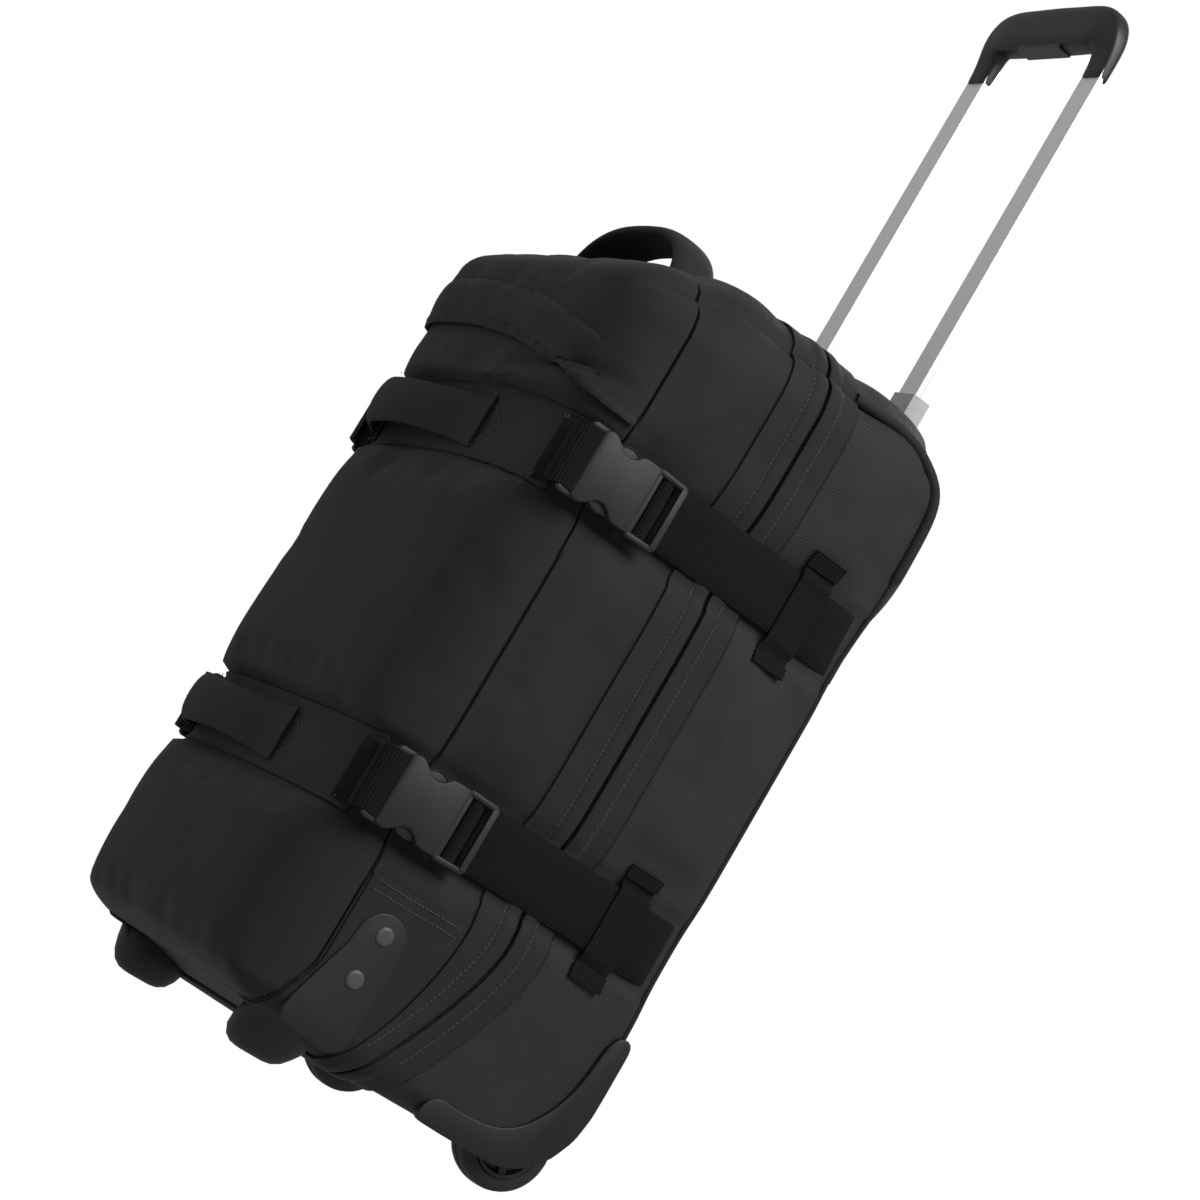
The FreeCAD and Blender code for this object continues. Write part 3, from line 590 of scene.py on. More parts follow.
def settleCloth(bm):
    # lets the stuffed cloth puff and pucker between its held seams
    scene = bpy.context.scene
    start = np.array([v.co for v in bm.verts])
    item = newObject(bm.copy(), "settling")
    group = item.vertex_groups.new(name="held")
    for index, weight in enumerate(heldWeights(start)):
        if weight > 0.02:
            group.add([index], float(weight), "REPLACE")
    modifier = addModifier(item, "CLOTH")
    cloth = modifier.settings
    cloth.quality = 5
    cloth.mass = 0.25
    cloth.tension_stiffness = cloth.compression_stiffness = 18
    cloth.shear_stiffness = 6
    cloth.bending_stiffness = settle["bending"]
    cloth.use_pressure = True
    cloth.uniform_pressure_force = settle["pressure"]
    cloth.shrink_min = -settle["grow"]
    cloth.vertex_group_mass = "held"
    cloth.effector_weights.gravity = 0
    modifier.point_cache.frame_start = 1
    modifier.point_cache.frame_end = settle["frames"]
    for frameNumber in range(1, settle["frames"] + 1):
        scene.frame_set(frameNumber)
    shown = item.evaluated_get(bpy.context.evaluated_depsgraph_get())
    end = np.empty(len(start) * 3)
    shown.data.vertices.foreach_get("co", end)
    raw = end.reshape(-1, 3) - start
    ends = np.array([[v.index for v in e.verts] for e in bm.edges])
    meets = np.bincount(ends.ravel(), minlength=len(start))[:, None]
    move = raw.copy()
    for _ in range(settle["calm"]):
        total = np.stack([np.bincount(ends.ravel(), move[ends[:, ::-1].ravel(), k], len(start))
                          for k in range(3)], axis=1)
        move = (move + total / meets) / 2
    move = move * (1 - settle["crisp"]) + raw * settle["crisp"]
    length = np.linalg.norm(move, axis=1, keepdims=True)
    move *= np.minimum(1, settle["cap"] / np.maximum(length, 1e-9))
    for vert, shift in zip(bm.verts, move):
        vert.co += Vector(shift)
    bpy.data.objects.remove(item)
    scene.frame_set(1)
    print("cloth settled, mean move %.2f mm" % (float(np.mean(length)) * 1000))


def shear(bm, curve, sign, axis=1, along=2):
    if curve is None:
        return
    places = np.array([v.co[along] for v in bm.verts])
    for vert, shift in zip(bm.verts, curve(places)):
        vert.co[axis] += sign * shift


def bisect(bm, place, normal, **clear):
    bmesh.ops.bisect_plane(bm, geom=bm.verts[:] + bm.edges[:] + bm.faces[:], dist=1e-6,
                           plane_co=place, plane_no=normal, **clear)


def trim(bm, curve, offset, keep, axis=1, along=2):
    # cuts along a curved line; keep is "below" or "above" it on that axis, or "both"
    shear(bm, curve, -1, axis, along)
    normal = [0, 0, 0]
    normal[axis] = 1
    bisect(bm, [offset * n for n in normal], normal, clear_outer=keep == "below",
           clear_inner=keep == "above")
    shear(bm, curve, 1, axis, along)


def groove(bm, curve, depth, halfWide=0.0018):
    # a sewn seam: the cloth dips in along a line
    for offset in (-halfWide, 0, halfWide):
        trim(bm, curve, offset, "both")
    bm.normal_update()
    for vert in bm.verts:
        if abs(vert.co.y - float(curve(vert.co.z))) < halfWide * 0.3:
            vert.co -= vert.normal * depth


def raised(bm, lift):
    # stands a panel off the form by a distance, or by a rule on its points
    bm.normal_update()
    if callable(lift):
        lift = lift(np.array([v.co for v in bm.verts]))
    else:
        lift = [lift] * len(bm.verts)
    for vert, amount in zip(bm.verts, lift):
        vert.co += vert.normal * float(amount)
    return bm


def overlay(bm, name, body, paint, thick, replaces=(), bevel=0.0006):
    item = newObject(bm, name)
    addModifier(item, "SOLIDIFY", thickness=thick, offset=1, use_quality_normals=True)
    if bevel:
        addModifier(item, "BEVEL", width=bevel, segments=2, limit_method="ANGLE",
                    angle_limit=math.radians(50))
    return dress(item, body, paint, replaces=replaces, smoothAngle=60)


print("building the bag form")
form = boxForm()
settleCloth(form)
form.normal_update()
skinTree = BVHTree.FromBMesh(form)

frontForm = form.copy()
trim(frontForm, slitLine, -0.0022, "below")
rearForm = form.copy()
trim(rearForm, slitLine, 0.0022, "above")

shellNodes = ["gusset_left", "gusset_right", "gusset_floor", "gusset_top", "front_panel",
              "front_pocket"]
tubNodes = ["tub_side_left", "tub_side_right", "tub_top", "tub_back", "tub_base"]
skin = frontForm.copy()
groove(skin, frontSeam, 0.0032)
frontSkin = newObject(skin, "frontShell")
addModifier(frontSkin, "SOLIDIFY", thickness=0.003, offset=-1, use_quality_normals=True,
            material_offset=1)
dress(frontSkin, "front_shell", "smooth", replaces=shellNodes, smoothAngle=60,
      extraPaints=("lining",))

skin = rearForm.copy()
groove(skin, lambda z: rearSeam(z) + 0.001, 0.0028)
rearSkin = newObject(skin, "rearTub")
addModifier(rearSkin, "SOLIDIFY", thickness=0.003, offset=-1, use_quality_normals=True,
            material_offset=1)
dress(rearSkin, "tub", "twill", replaces=tubNodes, smoothAngle=60, extraPaints=("lining",))
print("skins made")


def keepPart(source, *cuts):
    # cuts: (curve, offset, keep, axis, along)
    bm = source.copy()
    for cut in cuts:
        trim(bm, *cut)
    return bm


yoke = {"lift": 0.0008, "thick": 0.0024, "puff": 0.0045, "stitchUp": 0.035}


def yokeLift(p):
    away = p[:, 2] - yokeHem(p[:, 0])
    puff = yoke["puff"] * np.sin(np.pi * np.clip(away / yoke["stitchUp"], 0, 1)) ** 0.6
    ends = smooth((0.158 - np.abs(p[:, 0])) / 0.03)
    return yoke["lift"] + puff * ends * (p[:, 1] < -0.08) + 0.0012 * (away < 0.004)


panel = keepPart(frontForm, (yokeHem, 0.0, "above", 2, 0), (frontSeam, -0.0022, "below"))
for height in (0.004, 0.012, 0.023, 0.033, yoke["stitchUp"]):
    trim(panel, yokeHem, height, "both", 2, 0)
overlay(raised(panel, yokeLift), "yoke", "front_shell", "smooth", yoke["thick"], bevel=0.001)

flaps = {"lift": 0.0006, "thick": 0.0018, "roll": 0.0022}


def rollLift(p):
    away = np.abs(p[:, 1] - slitLine(p[:, 2]))
    return flaps["lift"] + flaps["roll"] * np.clip(1 - (away / 0.0135 - 0.5) ** 2 * 4, 0, 1) ** 0.5


panel = keepPart(frontForm, (flapSeam, 0.0, "above"))
for away in (-0.0035, -0.0068, -0.010, -0.0132):
    trim(panel, slitLine, away, "both")
overlay(raised(panel, rollLift), "zipFlapFront", "front_shell", "smooth", flaps["thick"])
panel = keepPart(rearForm, (rearSeam, 0.0, "below"))
for away in (0.0035, 0.0068, 0.010, 0.0132):
    trim(panel, slitLine, away, "both")
overlay(raised(panel, rollLift), "zipFlapRear", "tub", "smooth", flaps["thick"])

for word, way in sides.items():
    panel = keepPart(frontForm, (None, 0.148, "below", 2, 0), (frontSeam, 0.0025, "above"),
                     (flapSeam, -0.0018, "below"), (None, 0.120 * way,
                                                    "above" if way > 0 else "below", 0, 2),
                     (None, 0.030, "above", 2, 0))
    overlay(raised(panel, 0.0005), f"cornerPatch{word.title()}", "front_shell", "smooth", 0.0012)

bands = {"half": 0.0298, "reach": 0.1515, "thick": 0.0016}
for level, word in enumerate(("upper", "lower")):
    def middle(x, level=level):
        return beltHeight(level, x)
    panel = keepPart(frontForm, (middle, -bands["half"], "above", 2, 0),
                     (middle, bands["half"], "below", 2, 0),
                     (None, bands["reach"], "below", 0, 2),
                     (None, -bands["reach"], "above", 0, 2), (None, -0.07, "below", 1, 2))
    overlay(raised(panel, 0.0004), f"frontBand{word.title()}", "front_shell", "smooth",
            bands["thick"], replaces=[f"front_band_{word}"])
print("overlays made")


def unit(rows):
    return rows / np.linalg.norm(rows, axis=1, keepdims=True)


def cling(points, lift=0.0, calm=0):
    # settles rough points on the cloth; returns the points and the outward directions
    found = [skinTree.find_nearest(Vector(point))[:2] for point in points]
    spots = np.array([place for place, out in found])
    outs = np.array([out for place, out in found])
    soften(spots, calm)
    outs = unit(soften(outs, calm))
    return spots + outs * lift, outs


def evenly(points, step):
    # the same path with evenly spaced points
    points = np.asarray(points, dtype=float)
    far = np.concatenate(([0], np.cumsum(np.linalg.norm(np.diff(points, axis=0), axis=1))))
    count = max(2, int(round(far[-1] / step)) + 1)
    places = np.linspace(0, far[-1], count)
    return np.stack([np.interp(places, far, points[:, k]) for k in range(points.shape[1])], axis=1)


def hoop(curve, offset, low=0.030, step=0.004):
    # a path up the right side, over the top and down the left, along a side line
    half, corner, top = bag["halfWide"], bag["shoulder"], bag["top"]
    turn = np.linspace(0, math.pi / 2, 12)
    right = [(half, low)] + [(half - corner + corner * math.cos(t), top - corner +
                              corner * math.sin(t)) for t in turn]
    right += [(x, top) for x in np.linspace(half - corner, 0, 8)[1:]]
    outline = right + [(-x, z) for x, z in right[-2::-1]]
    rough = []
    for x, z in evenly(outline, step):
        z += bag["crown"] * (1 - (x / half) ** 2) * smooth((z - 0.46) / 0.17)
        rough.append((x, float(curve(z)) + offset, z))
    return rough


def acrossFront(height, start, end, step=0.004):
    return [(x, -0.15, float(height(x))) for x in np.arange(start, end, step)]


def onFront(x, z):
    return skinTree.ray_cast(Vector((x, -0.4, z)), Vector((0, 1, 0)))[0]


def loft(rings):
    # a skin through a row of rings, with a cloth map in metres along and around
    rings = np.asarray(rings, dtype=float)
    count, points = rings.shape[:2]
    bm = bmesh.new()
    layer = bm.loops.layers.uv.new("cloth")
    verts = [[bm.verts.new(p) for p in ring] for ring in rings]
    middles = rings.mean(axis=1)
    along = np.concatenate(([0], np.cumsum(np.linalg.norm(np.diff(middles, axis=0), axis=1))))
    ring = rings[count // 2]
    loopRing = np.vstack((ring, ring[:1]))
    around = np.concatenate(([0], np.cumsum(np.linalg.norm(np.diff(loopRing, axis=0), axis=1))))
    for i in range(count - 1):
        for j in range(points):
            k = (j + 1) % points
            face = bm.faces.new((verts[i][j], verts[i + 1][j], verts[i + 1][k], verts[i][k]))
            corners = ((i, j), (i + 1, j), (i + 1, j + 1), (i, j + 1))
            for loop, (a, b) in zip(face.loops, corners):
                loop[layer].uv = (along[a], around[b])
    bm.faces.new(verts[0])
    bm.faces.new(verts[-1])
    bmesh.ops.recalc_face_normals(bm, faces=bm.faces[:])
    return bm


webShape = [(-1, .25), (-1, .75), (-.98, 1), (-.5, 1), (0, 1), (.5, 1), (.98, 1), (1, .75),
            (1, .25), (.98, 0), (.5, 0), (0, 0), (-.5, 0), (-.98, 0)]


def ribbon(spots, outs, across, halfWide, thick, shape=webShape):
    # flat webbing along a path; across may be one direction or one per point
    across = np.broadcast_to(np.asarray(across, dtype=float), np.shape(spots))
    wide = np.broadcast_to(np.asarray(halfWide, dtype=float), (len(spots),))
    deep = np.broadcast_to(np.asarray(thick, dtype=float), (len(spots),))
    return loft([[s + a * u * w + o * h * t for u, h in shape]
                 for s, o, a, w, t in zip(spots, outs, across, wide, deep)])


def addTo(bm, other):
    # puts one mesh into another
    mesh = bpy.data.meshes.new("part")
    other.to_mesh(mesh)
    other.free()
    bm.from_mesh(mesh)
    bpy.data.meshes.remove(mesh)


def joined(parts):
    bm = bmesh.new()
    for part in parts:
        addTo(bm, part)
    return bm


def stitchRun(bm, spots, outs, long=0.0026, half=0.0003, high=0.0005):
    # short raised threads, one between each two points of a path
    for index in range(len(spots) - 1):
        a, b = spots[index], spots[index + 1]
        way = b - a
        gap = np.linalg.norm(way)
        if gap < 1e-6:
            continue
        way = way / gap
        side = np.cross(outs[index], way) * half
        middle, up = (a + b) / 2, outs[index] * high
        ends = (middle - way * long / 2, middle + way * long / 2)
        low = [bm.verts.new(e + side * s - up * 0.4) for e in ends for s in (-1, 1)]
        crest = [bm.verts.new(e + side * s * 0.6 + up) for e in ends for s in (-1, 1)]
        bm.faces.new([crest[k] for k in (0, 1, 3, 2)])
        bm.faces.new([low[k] for k in (2, 3, 1, 0)])
        for j, k in ((0, 1), (1, 3), (3, 2), (2, 0)):
            bm.faces.new((low[j], low[k], crest[k], crest[j]))


threads = {"front_shell": bmesh.new(), "tub": bmesh.new()}


def sew(body, rough, lift, pitch=0.0040, long=0.0026):
    spots, outs = cling(evenly(rough, pitch), lift)
    stitchRun(threads[body], spots, outs, long=long)


rows = {"flap": 0.0142, "bandEnds": (0.1462, 0.1496), "handleEnds": (0.028, -0.136),
        "patch": (0.1445, 0.1375), "bandHalf": 0.019, "handleHalf": 0.021, "onBand": 0.0022}
for body, side in (("front_shell", -1), ("tub", 1)):
    sew(body, hoop(slitLine, side * rows["flap"], 0.045), flaps["lift"] + flaps["thick"] + 0.0003)
sew("front_shell", acrossFront(lambda x: yokeHem(x) + yoke["stitchUp"], -0.148, 0.150),
    yoke["lift"] + yoke["thick"] + 0.0001)


def acrossBand(level, x, half, lift, long=0.0026):
    z = beltHeight(level, x)
    sew("front_shell", [(x, -0.15, z - half), (x, -0.15, z + half)], lift, 0.0034, long)


for level in (0, 1):
    for way in (-1, 1):
        for x in rows["bandEnds"]:
            acrossBand(level, x * way, rows["bandHalf"], 0.0021, 0.0024)
    for x in rows["handleEnds"]:
        acrossBand(level, x, rows["handleHalf"], rows["onBand"])
    # the pointed row that holds the end of the carry handle
    x, z = rows["handleEnds"][0], beltHeight(level, rows["handleEnds"][0])
    sew("front_shell", [(x, -0.15, z + 0.016), (x + 0.028, -0.15, z - 0.001),
                        (x, -0.15, z - 0.016)], rows["onBand"], 0.0034)
for way in (-1, 1):
    for z in rows["patch"]:
        sew("front_shell", [(0.18 * way, float(frontSeam(z)) + 0.006, z),
                            (0.18 * way, float(flapSeam(z)) - 0.006, z)], 0.0019, 0.0034)
print("stitches made")

piping = {"roll": 0.0046, "cord": 0.0021, "turn": 0.522}


def tube(rough, radius, calm=2):
    # a thin cord on the cloth, sunk to about a third of its thickness
    spots, outs = cling(rough, 0.0, calm)
    radius = np.broadcast_to(np.asarray(radius, dtype=float), (len(spots),))
    ways = unit(np.gradient(spots, axis=0))
    turns = np.linspace(0, math.tau, 10, endpoint=False)
    rings = []
    for spot, out, way, r in zip(spots, outs, ways, radius):
        side = np.cross(way, out)
        side /= np.linalg.norm(side)
        up = np.cross(side, way)
        rings.append([spot + up * r * (0.35 + math.cos(t)) + side * r * math.sin(t)
                      for t in turns])
    return loft(rings)


edges = []
for word, way in sides.items():
    turn = np.linspace(0, math.pi / 2, 10)
    rough = [(0.152, y, 0.620) for y in np.arange(0.050, 0.106, 0.006)]
    rough += [(0.152 + 0.011 * math.sin(t), 0.106 + 0.040 * math.sin(t),
               0.582 + 0.038 * math.cos(t)) for t in turn]
    rough += [(0.1645, 0.148, z) for z in np.arange(0.576, 0.135, -0.006)]
    rough = evenly([(x * way, y, z) for x, y, z in rough], 0.005)
    width = piping["cord"] + (piping["roll"] - piping["cord"]) * (rough[:, 2] > piping["turn"])
    edges.append(tube(rough, width, calm=8))
    rough = [(0.152 * way, y, 0.620) for y in np.arange(0.050, 0.020, -0.004)]
    edges.append(tube(rough, 0.0016))
item = newObject(joined(edges), "edgePiping")
dress(item, "tub", "smooth", smoothAngle=60)
item = newObject(joined([
    ribbon(*cling(hoop(slitLine, 0.0, 0.028, step=0.005), -0.0022, 2), (0, 1, 0), 0.007, 0.001)]),
    "zipTape")
dress(item, "tub", "zip", replaces=["zip_chain"])

teeth = bmesh.new()
spots, outs = cling(evenly(hoop(slitLine, 0.0, 0.060, step=0.004), 0.0030), -0.0009, 1)
stitchRun(teeth, spots, outs, long=0.0016, half=0.0022, high=0.0008)
item = newObject(teeth, "zipTeeth")
dress(item, "tub", "zip")
print("piping and zip made")

straps = {"half": 0.025, "thick": 0.0022}
up = (0, 0, 1)
for word, way in sides.items():
    loops = []
    for level, tier in enumerate(("upper", "lower")):
        z = bag["belts"][level]
        rough = [(0.18 * way, y, z) for y in np.arange(-0.052, 0.136, 0.006)]
        rough += [(0.166 * way, 0.143, z), (0.158 * way, 0.152, z), (0.150 * way, 0.156, z)]
        spots, outs = cling(rough, 0.0004, 6)
        under = ribbon(spots, outs, up, straps["half"], straps["thick"])
        rough = [(0.18 * way, y, z) for y in np.arange(-0.062, 0.088, 0.005)]
        spots, outs = cling(rough, 0.0028, 6)
        spots[:, 2] += 0.0015
        leaves = smooth((-0.035 - spots[:, 1]) / 0.03)
        spots[:, 0] += way * 0.0035 * leaves
        over = ribbon(spots, outs, up, straps["half"], straps["thick"])
        item = newObject(joined([under, over]), f"sideStrap{tier.title()}{word.title()}")
        dress(item, "tub", "webbing", replaces=[f"webbing_{tier}_{word}"], smoothAngle=50)

        # the keeper that holds the strap down, sewn flat above and below it
        rough = [(0.18 * way, 0.089, z + t) for t in np.linspace(-0.044, 0.044, 45)]
        spots, outs = cling(rough, 0.0, 3)
        over = smooth((0.0335 - np.abs(spots[:, 2] - z)) / 0.006)
        spots = spots + outs * (0.0005 + 0.0049 * over)[:, None]
        loops.append(ribbon(spots, outs, (0, 1, 0), 0.0140, 0.0016))
        for end in (-1, 1):
            rough = [(0.18 * way, 0.089, z + end * t) for t in np.linspace(0.0315, 0.0445, 6)]
            spots, outs = cling(rough, 0.0018, 1)
            loops.append(ribbon(spots, outs, (0, 1, 0), 0.0150, 0.0018))
    item = newObject(joined(loops), f"keeperLoops{word.title()}")
    dress(item, "tub", "webbing", replaces=[f"keeper_loops_{word}"], smoothAngle=50)
print("straps made")


def plate(outline, low, high, bevel=0.0006, segments=2, hole=None):
    # a flat moulding: an outline in its own plane, given a thickness and softened edges
    bm = bmesh.new()
    rings = [[bm.verts.new((u, v, low)) for u, v in outline]]
    if hole is None:
        faces = [bm.faces.new(rings[0])]
    else:
        rings.append([bm.verts.new((u, v, low)) for u, v in hole])
        edges = []
        for ring in rings:
            edges += [bm.edges.new((ring[k], ring[(k + 1) % len(ring)])) for k in range(len(ring))]
        faces = [g for g in bmesh.ops.triangle_fill(bm, edges=edges, use_beauty=True)["geom"]
                 if isinstance(g, bmesh.types.BMFace)]
    made = bmesh.ops.extrude_face_region(bm, geom=faces)["geom"]
    for vert in made:
        if isinstance(vert, bmesh.types.BMVert):
            vert.co.z = high
    bmesh.ops.recalc_face_normals(bm, faces=bm.faces[:])
    if bevel:
        sharp = [e for e in bm.edges if len(e.link_faces) == 2
                 and e.calc_face_angle(0) > math.radians(35)]
        bmesh.ops.bevel(bm, geom=sharp, offset=bevel, segments=segments, affect="EDGES",
                        profile=0.5, material=-1)
    return bm


def arc(u, v, radius, start, end, count=8):
    return [(u + radius * math.cos(math.radians(a)), v + radius * math.sin(math.radians(a)))
            for a in np.linspace(start, end, count)]


def seated(bm, columns, place):
    # turns a moulding's own axes to the bag's and sets it in place
    turn = Matrix([list(c) for c in columns]).transposed()
    bmesh.ops.transform(bm, matrix=Matrix.Translation(place) @ turn.to_4x4(), verts=bm.verts[:])
    if turn.determinant() < 0:
        bmesh.ops.reverse_faces(bm, faces=bm.faces[:])
    return bm


def bar(u, v0, v1, w, radiusU, radiusW, count=14):
    # a straight rounded rod across the buckle
    turns = np.linspace(0, math.tau, count, endpoint=False)
    ends = [(v0, 0.55), (v0 + 0.0012, 0.9), (v0 + 0.003, 1), (v1 - 0.003, 1), (v1 - 0.0012, 0.9),
            (v1, 0.55)]
    return loft([[(u + radiusU * s * math.cos(t), v, w + radiusW * s * math.sin(t))
                  for t in turns] for v, s in ends])


buckle = {"half": 0.027, "face": 0.0136, "notchShare": 0.60}


def halfTurned(bm, way):
    # the same moulding on the upper or the lower half of the buckle
    return seated(bm, ((1, 0, 0), (0, way, 0), (0, 0, 1)), (0, 0, 0))


def socketParts(long):
    # u runs from the front bar to the mouth, v up, w outwards
    h, face = buckle["half"], buckle["face"]
    notch = long * buckle["notchShare"]
    upper = [(long, h - 0.001), (notch + 0.013, h - 0.0008), (notch + 0.0085, h - 0.0018),
             (notch + 0.004, h - 0.0062), (notch - 0.001, h - 0.0083), (notch - 0.0065, h - 0.0078),
             (notch - 0.0115, h - 0.0035), (notch - 0.0165, h + 0.0), (notch - 0.020, h + 0.0008),
             (0.0135, h - 0.0005), (0.0125, h - 0.002)]
    outline = upper + [(u, -v) for u, v in reversed(upper)]
    shell = plate(outline, 0.0012, face, bevel=0.0016, segments=3)
    for vert in shell.verts:
        t = 1 - min(max((vert.co.x - 0.011) / 0.022, 0), 1)
        crown = 0.0012 * (1 - (vert.co.y / h) ** 2)
        if vert.co.z > face * 0.5:
            vert.co.z += crown - 0.0042 * t * t
        vert.co.z = max(vert.co.z, 0.0008)
    pieces = [shell]
    for way in (-1, 1):
        rail = [(0.002, h - 0.0038), (0.002, h - 0.0012), (0.0045, h + 0.0006),
                (0.016, h + 0.0006), (0.018, h - 0.003)]
        pieces.append(halfTurned(plate(rail, 0.0035, 0.0085, bevel=0.001), way))
    pieces.append(bar(0.0042, -h + 0.001, h - 0.001, 0.0058, 0.0026, 0.0024))
    lip = [(long - 0.0006, h - 0.0004), (long + 0.0008, h - 0.0004), (long + 0.0008, -h + 0.0004),
           (long - 0.0006, -h + 0.0004)]
    pieces.append(plate(lip, 0.0006, face * 0.99, bevel=0.0004, segments=1))
    return pieces


def plugParts(long, mouth):
    # the half that slides in: two prongs with D-shaped buttons and a ladder for the webbing
    h = buckle["half"]
    pieces = []
    notch = mouth * buckle["notchShare"]
    for way in (-1, 1):
        button = [(notch - 0.0105, h - 0.0095)] + [
            (notch - 0.001 + 0.0095 * math.cos(math.radians(a)),
             h - 0.0088 + 0.0068 * math.sin(math.radians(a))) for a in np.linspace(170, 10, 12)]
        button += [(notch + 0.0085, h - 0.0095)]
        made = plate(button, 0.0035, 0.0108, bevel=0.0008)
        pieces.append(halfTurned(made, way))
        rim = [(u + (u - notch + 0.001) * 0.10, v + 0.0007) for u, v in button[1:-1]]
        made = plate(rim + [(u, v) for u, v in reversed(button[1:-1])], 0.0035, 0.0116,
                     bevel=0.0003, segments=1)
        pieces.append(halfTurned(made, way))
        prong = [(notch - 0.004, h - 0.0125), (notch - 0.004, h - 0.0095), (mouth, h - 0.006),
                 (mouth, h - 0.013)]
        made = plate(prong, 0.0045, 0.0095, bevel=0.0008)
        pieces.append(halfTurned(made, way))
        rail = [(mouth + 0.0012, h - 0.0042), (mouth + 0.0012, h + 0.0006),
                (mouth + long - 0.003, h - 0.0002), (mouth + long, h - 0.0022),
                (mouth + long, h - 0.0048)]
        made = plate(rail, 0.0022, 0.0112, bevel=0.0017, segments=3)
        pieces.append(halfTurned(made, way))
    shoulder = [(mouth + 0.0008, -h + 0.001), (mouth + 0.0052, -h + 0.001),
                (mouth + 0.0052, h - 0.001), (mouth + 0.0008, h - 0.001)]
    pieces.append(plate(shoulder, 0.0022, 0.0100, bevel=0.001))
    pieces.append(bar(mouth + 0.0125, -h + 0.002, h - 0.002, 0.0055, 0.0024, 0.0018))
    rear = [(mouth + long - 0.0058, -h + 0.003), (mouth + long - 0.0006, -h + 0.003),
            (mouth + long - 0.0006, h - 0.003), (mouth + long - 0.0058, h - 0.003)]
    pieces.append(plate(rear, 0.0072, 0.0118, bevel=0.0008))
    return pieces


for word, way in sides.items():
    for level, tier in enumerate(("upper", "lower")):
        low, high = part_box(f"buckle_socket_{tier}_{word}")
        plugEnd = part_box(f"buckle_plug_{tier}_{word}")[1].y
        front, mouth, z = low.y, high.y - low.y, (low.z + high.z) / 2
        inner = low.x if way > 0 else high.x
        axes = ((0, 1, 0), (0, 0, 1), (way, 0, 0))
        place = (inner, front, z)
        label = f"{tier.title()}{word.title()}"
        item = newObject(joined([seated(b, axes, place) for b in socketParts(mouth)]),
                         f"buckleSocket{label}")
        dress(item, "front_shell", "buckle", replaces=[f"buckle_socket_{tier}_{word}"],
              smoothAngle=35, uv=False)
        item = newObject(joined([seated(b, axes, place)
                                 for b in plugParts(plugEnd - high.y, mouth)]),
                         f"bucklePlug{label}")
        dress(item, f"plug_{tier}_{word}", "buckle", replaces=[f"buckle_plug_{tier}_{word}"],
              smoothAngle=35, uv=False)

        # webbing from the end of the front band round the corner to the front bar, doubled back
        rough = [(0.146 * way, -0.17, z), (0.152 * way, -0.165, z), (0.158 * way, -0.158, z),
                 (0.164 * way, -0.150, z), (0.170 * way, -0.140, z)]
        spots, outs = cling(rough, 0.0022, 1)
        barX = inner + way * 0.0046
        tail = [(barX - way * 0.0042, front - 0.0025, z), (barX - way * 0.0010, front + 0.004, z),
                (barX, front + 0.009, z), (barX - way * 0.0004, front + 0.0145, z)]
        spots = soften(evenly(np.vstack((spots, tail)), 0.0035), 1)
        ways = np.gradient(spots, axis=0)
        outs = np.cross(ways, (0, 0, way))
        outs = unit(outs * np.sign(np.sum(outs * np.array((way, -0.6, 0)), axis=1))[:, None])
        spots[:, 2] += np.linspace(beltHeight(level, 0.15 * way) - z, 0, len(spots))
        deep = 0.0022 + 0.0030 * smooth((np.arange(len(spots)) - 2) / 5)
        item = newObject(ribbon(spots, outs, up, straps["half"] - 0.001, deep),
                         f"socketLoop{label}")
        dress(item, "front_shell", "webbing", smoothAngle=50)

        # the strap's turn round the ladder bar, seen inside the frame
        u = front + mouth + 0.0125
        turns = np.linspace(-math.pi, math.pi, 20)
        rings = []
        for v in np.linspace(-0.0235, 0.0235, 9):
            rings.append([(inner + way * (0.0055 + 0.0042 * math.sin(t)),
                           u + 0.0058 * math.cos(t), z + v) for t in turns[:-1]])
        bm = loft(rings)
        layer = bm.loops.layers.uv.active
        for face in bm.faces:
            for loop in face.loops:
                a, b = loop[layer].uv
                loop[layer].uv = (b, a)
        item = newObject(bm, f"plugLoop{label}")
        dress(item, f"plug_{tier}_{word}", "webbing", smoothAngle=50)
print("buckles made")

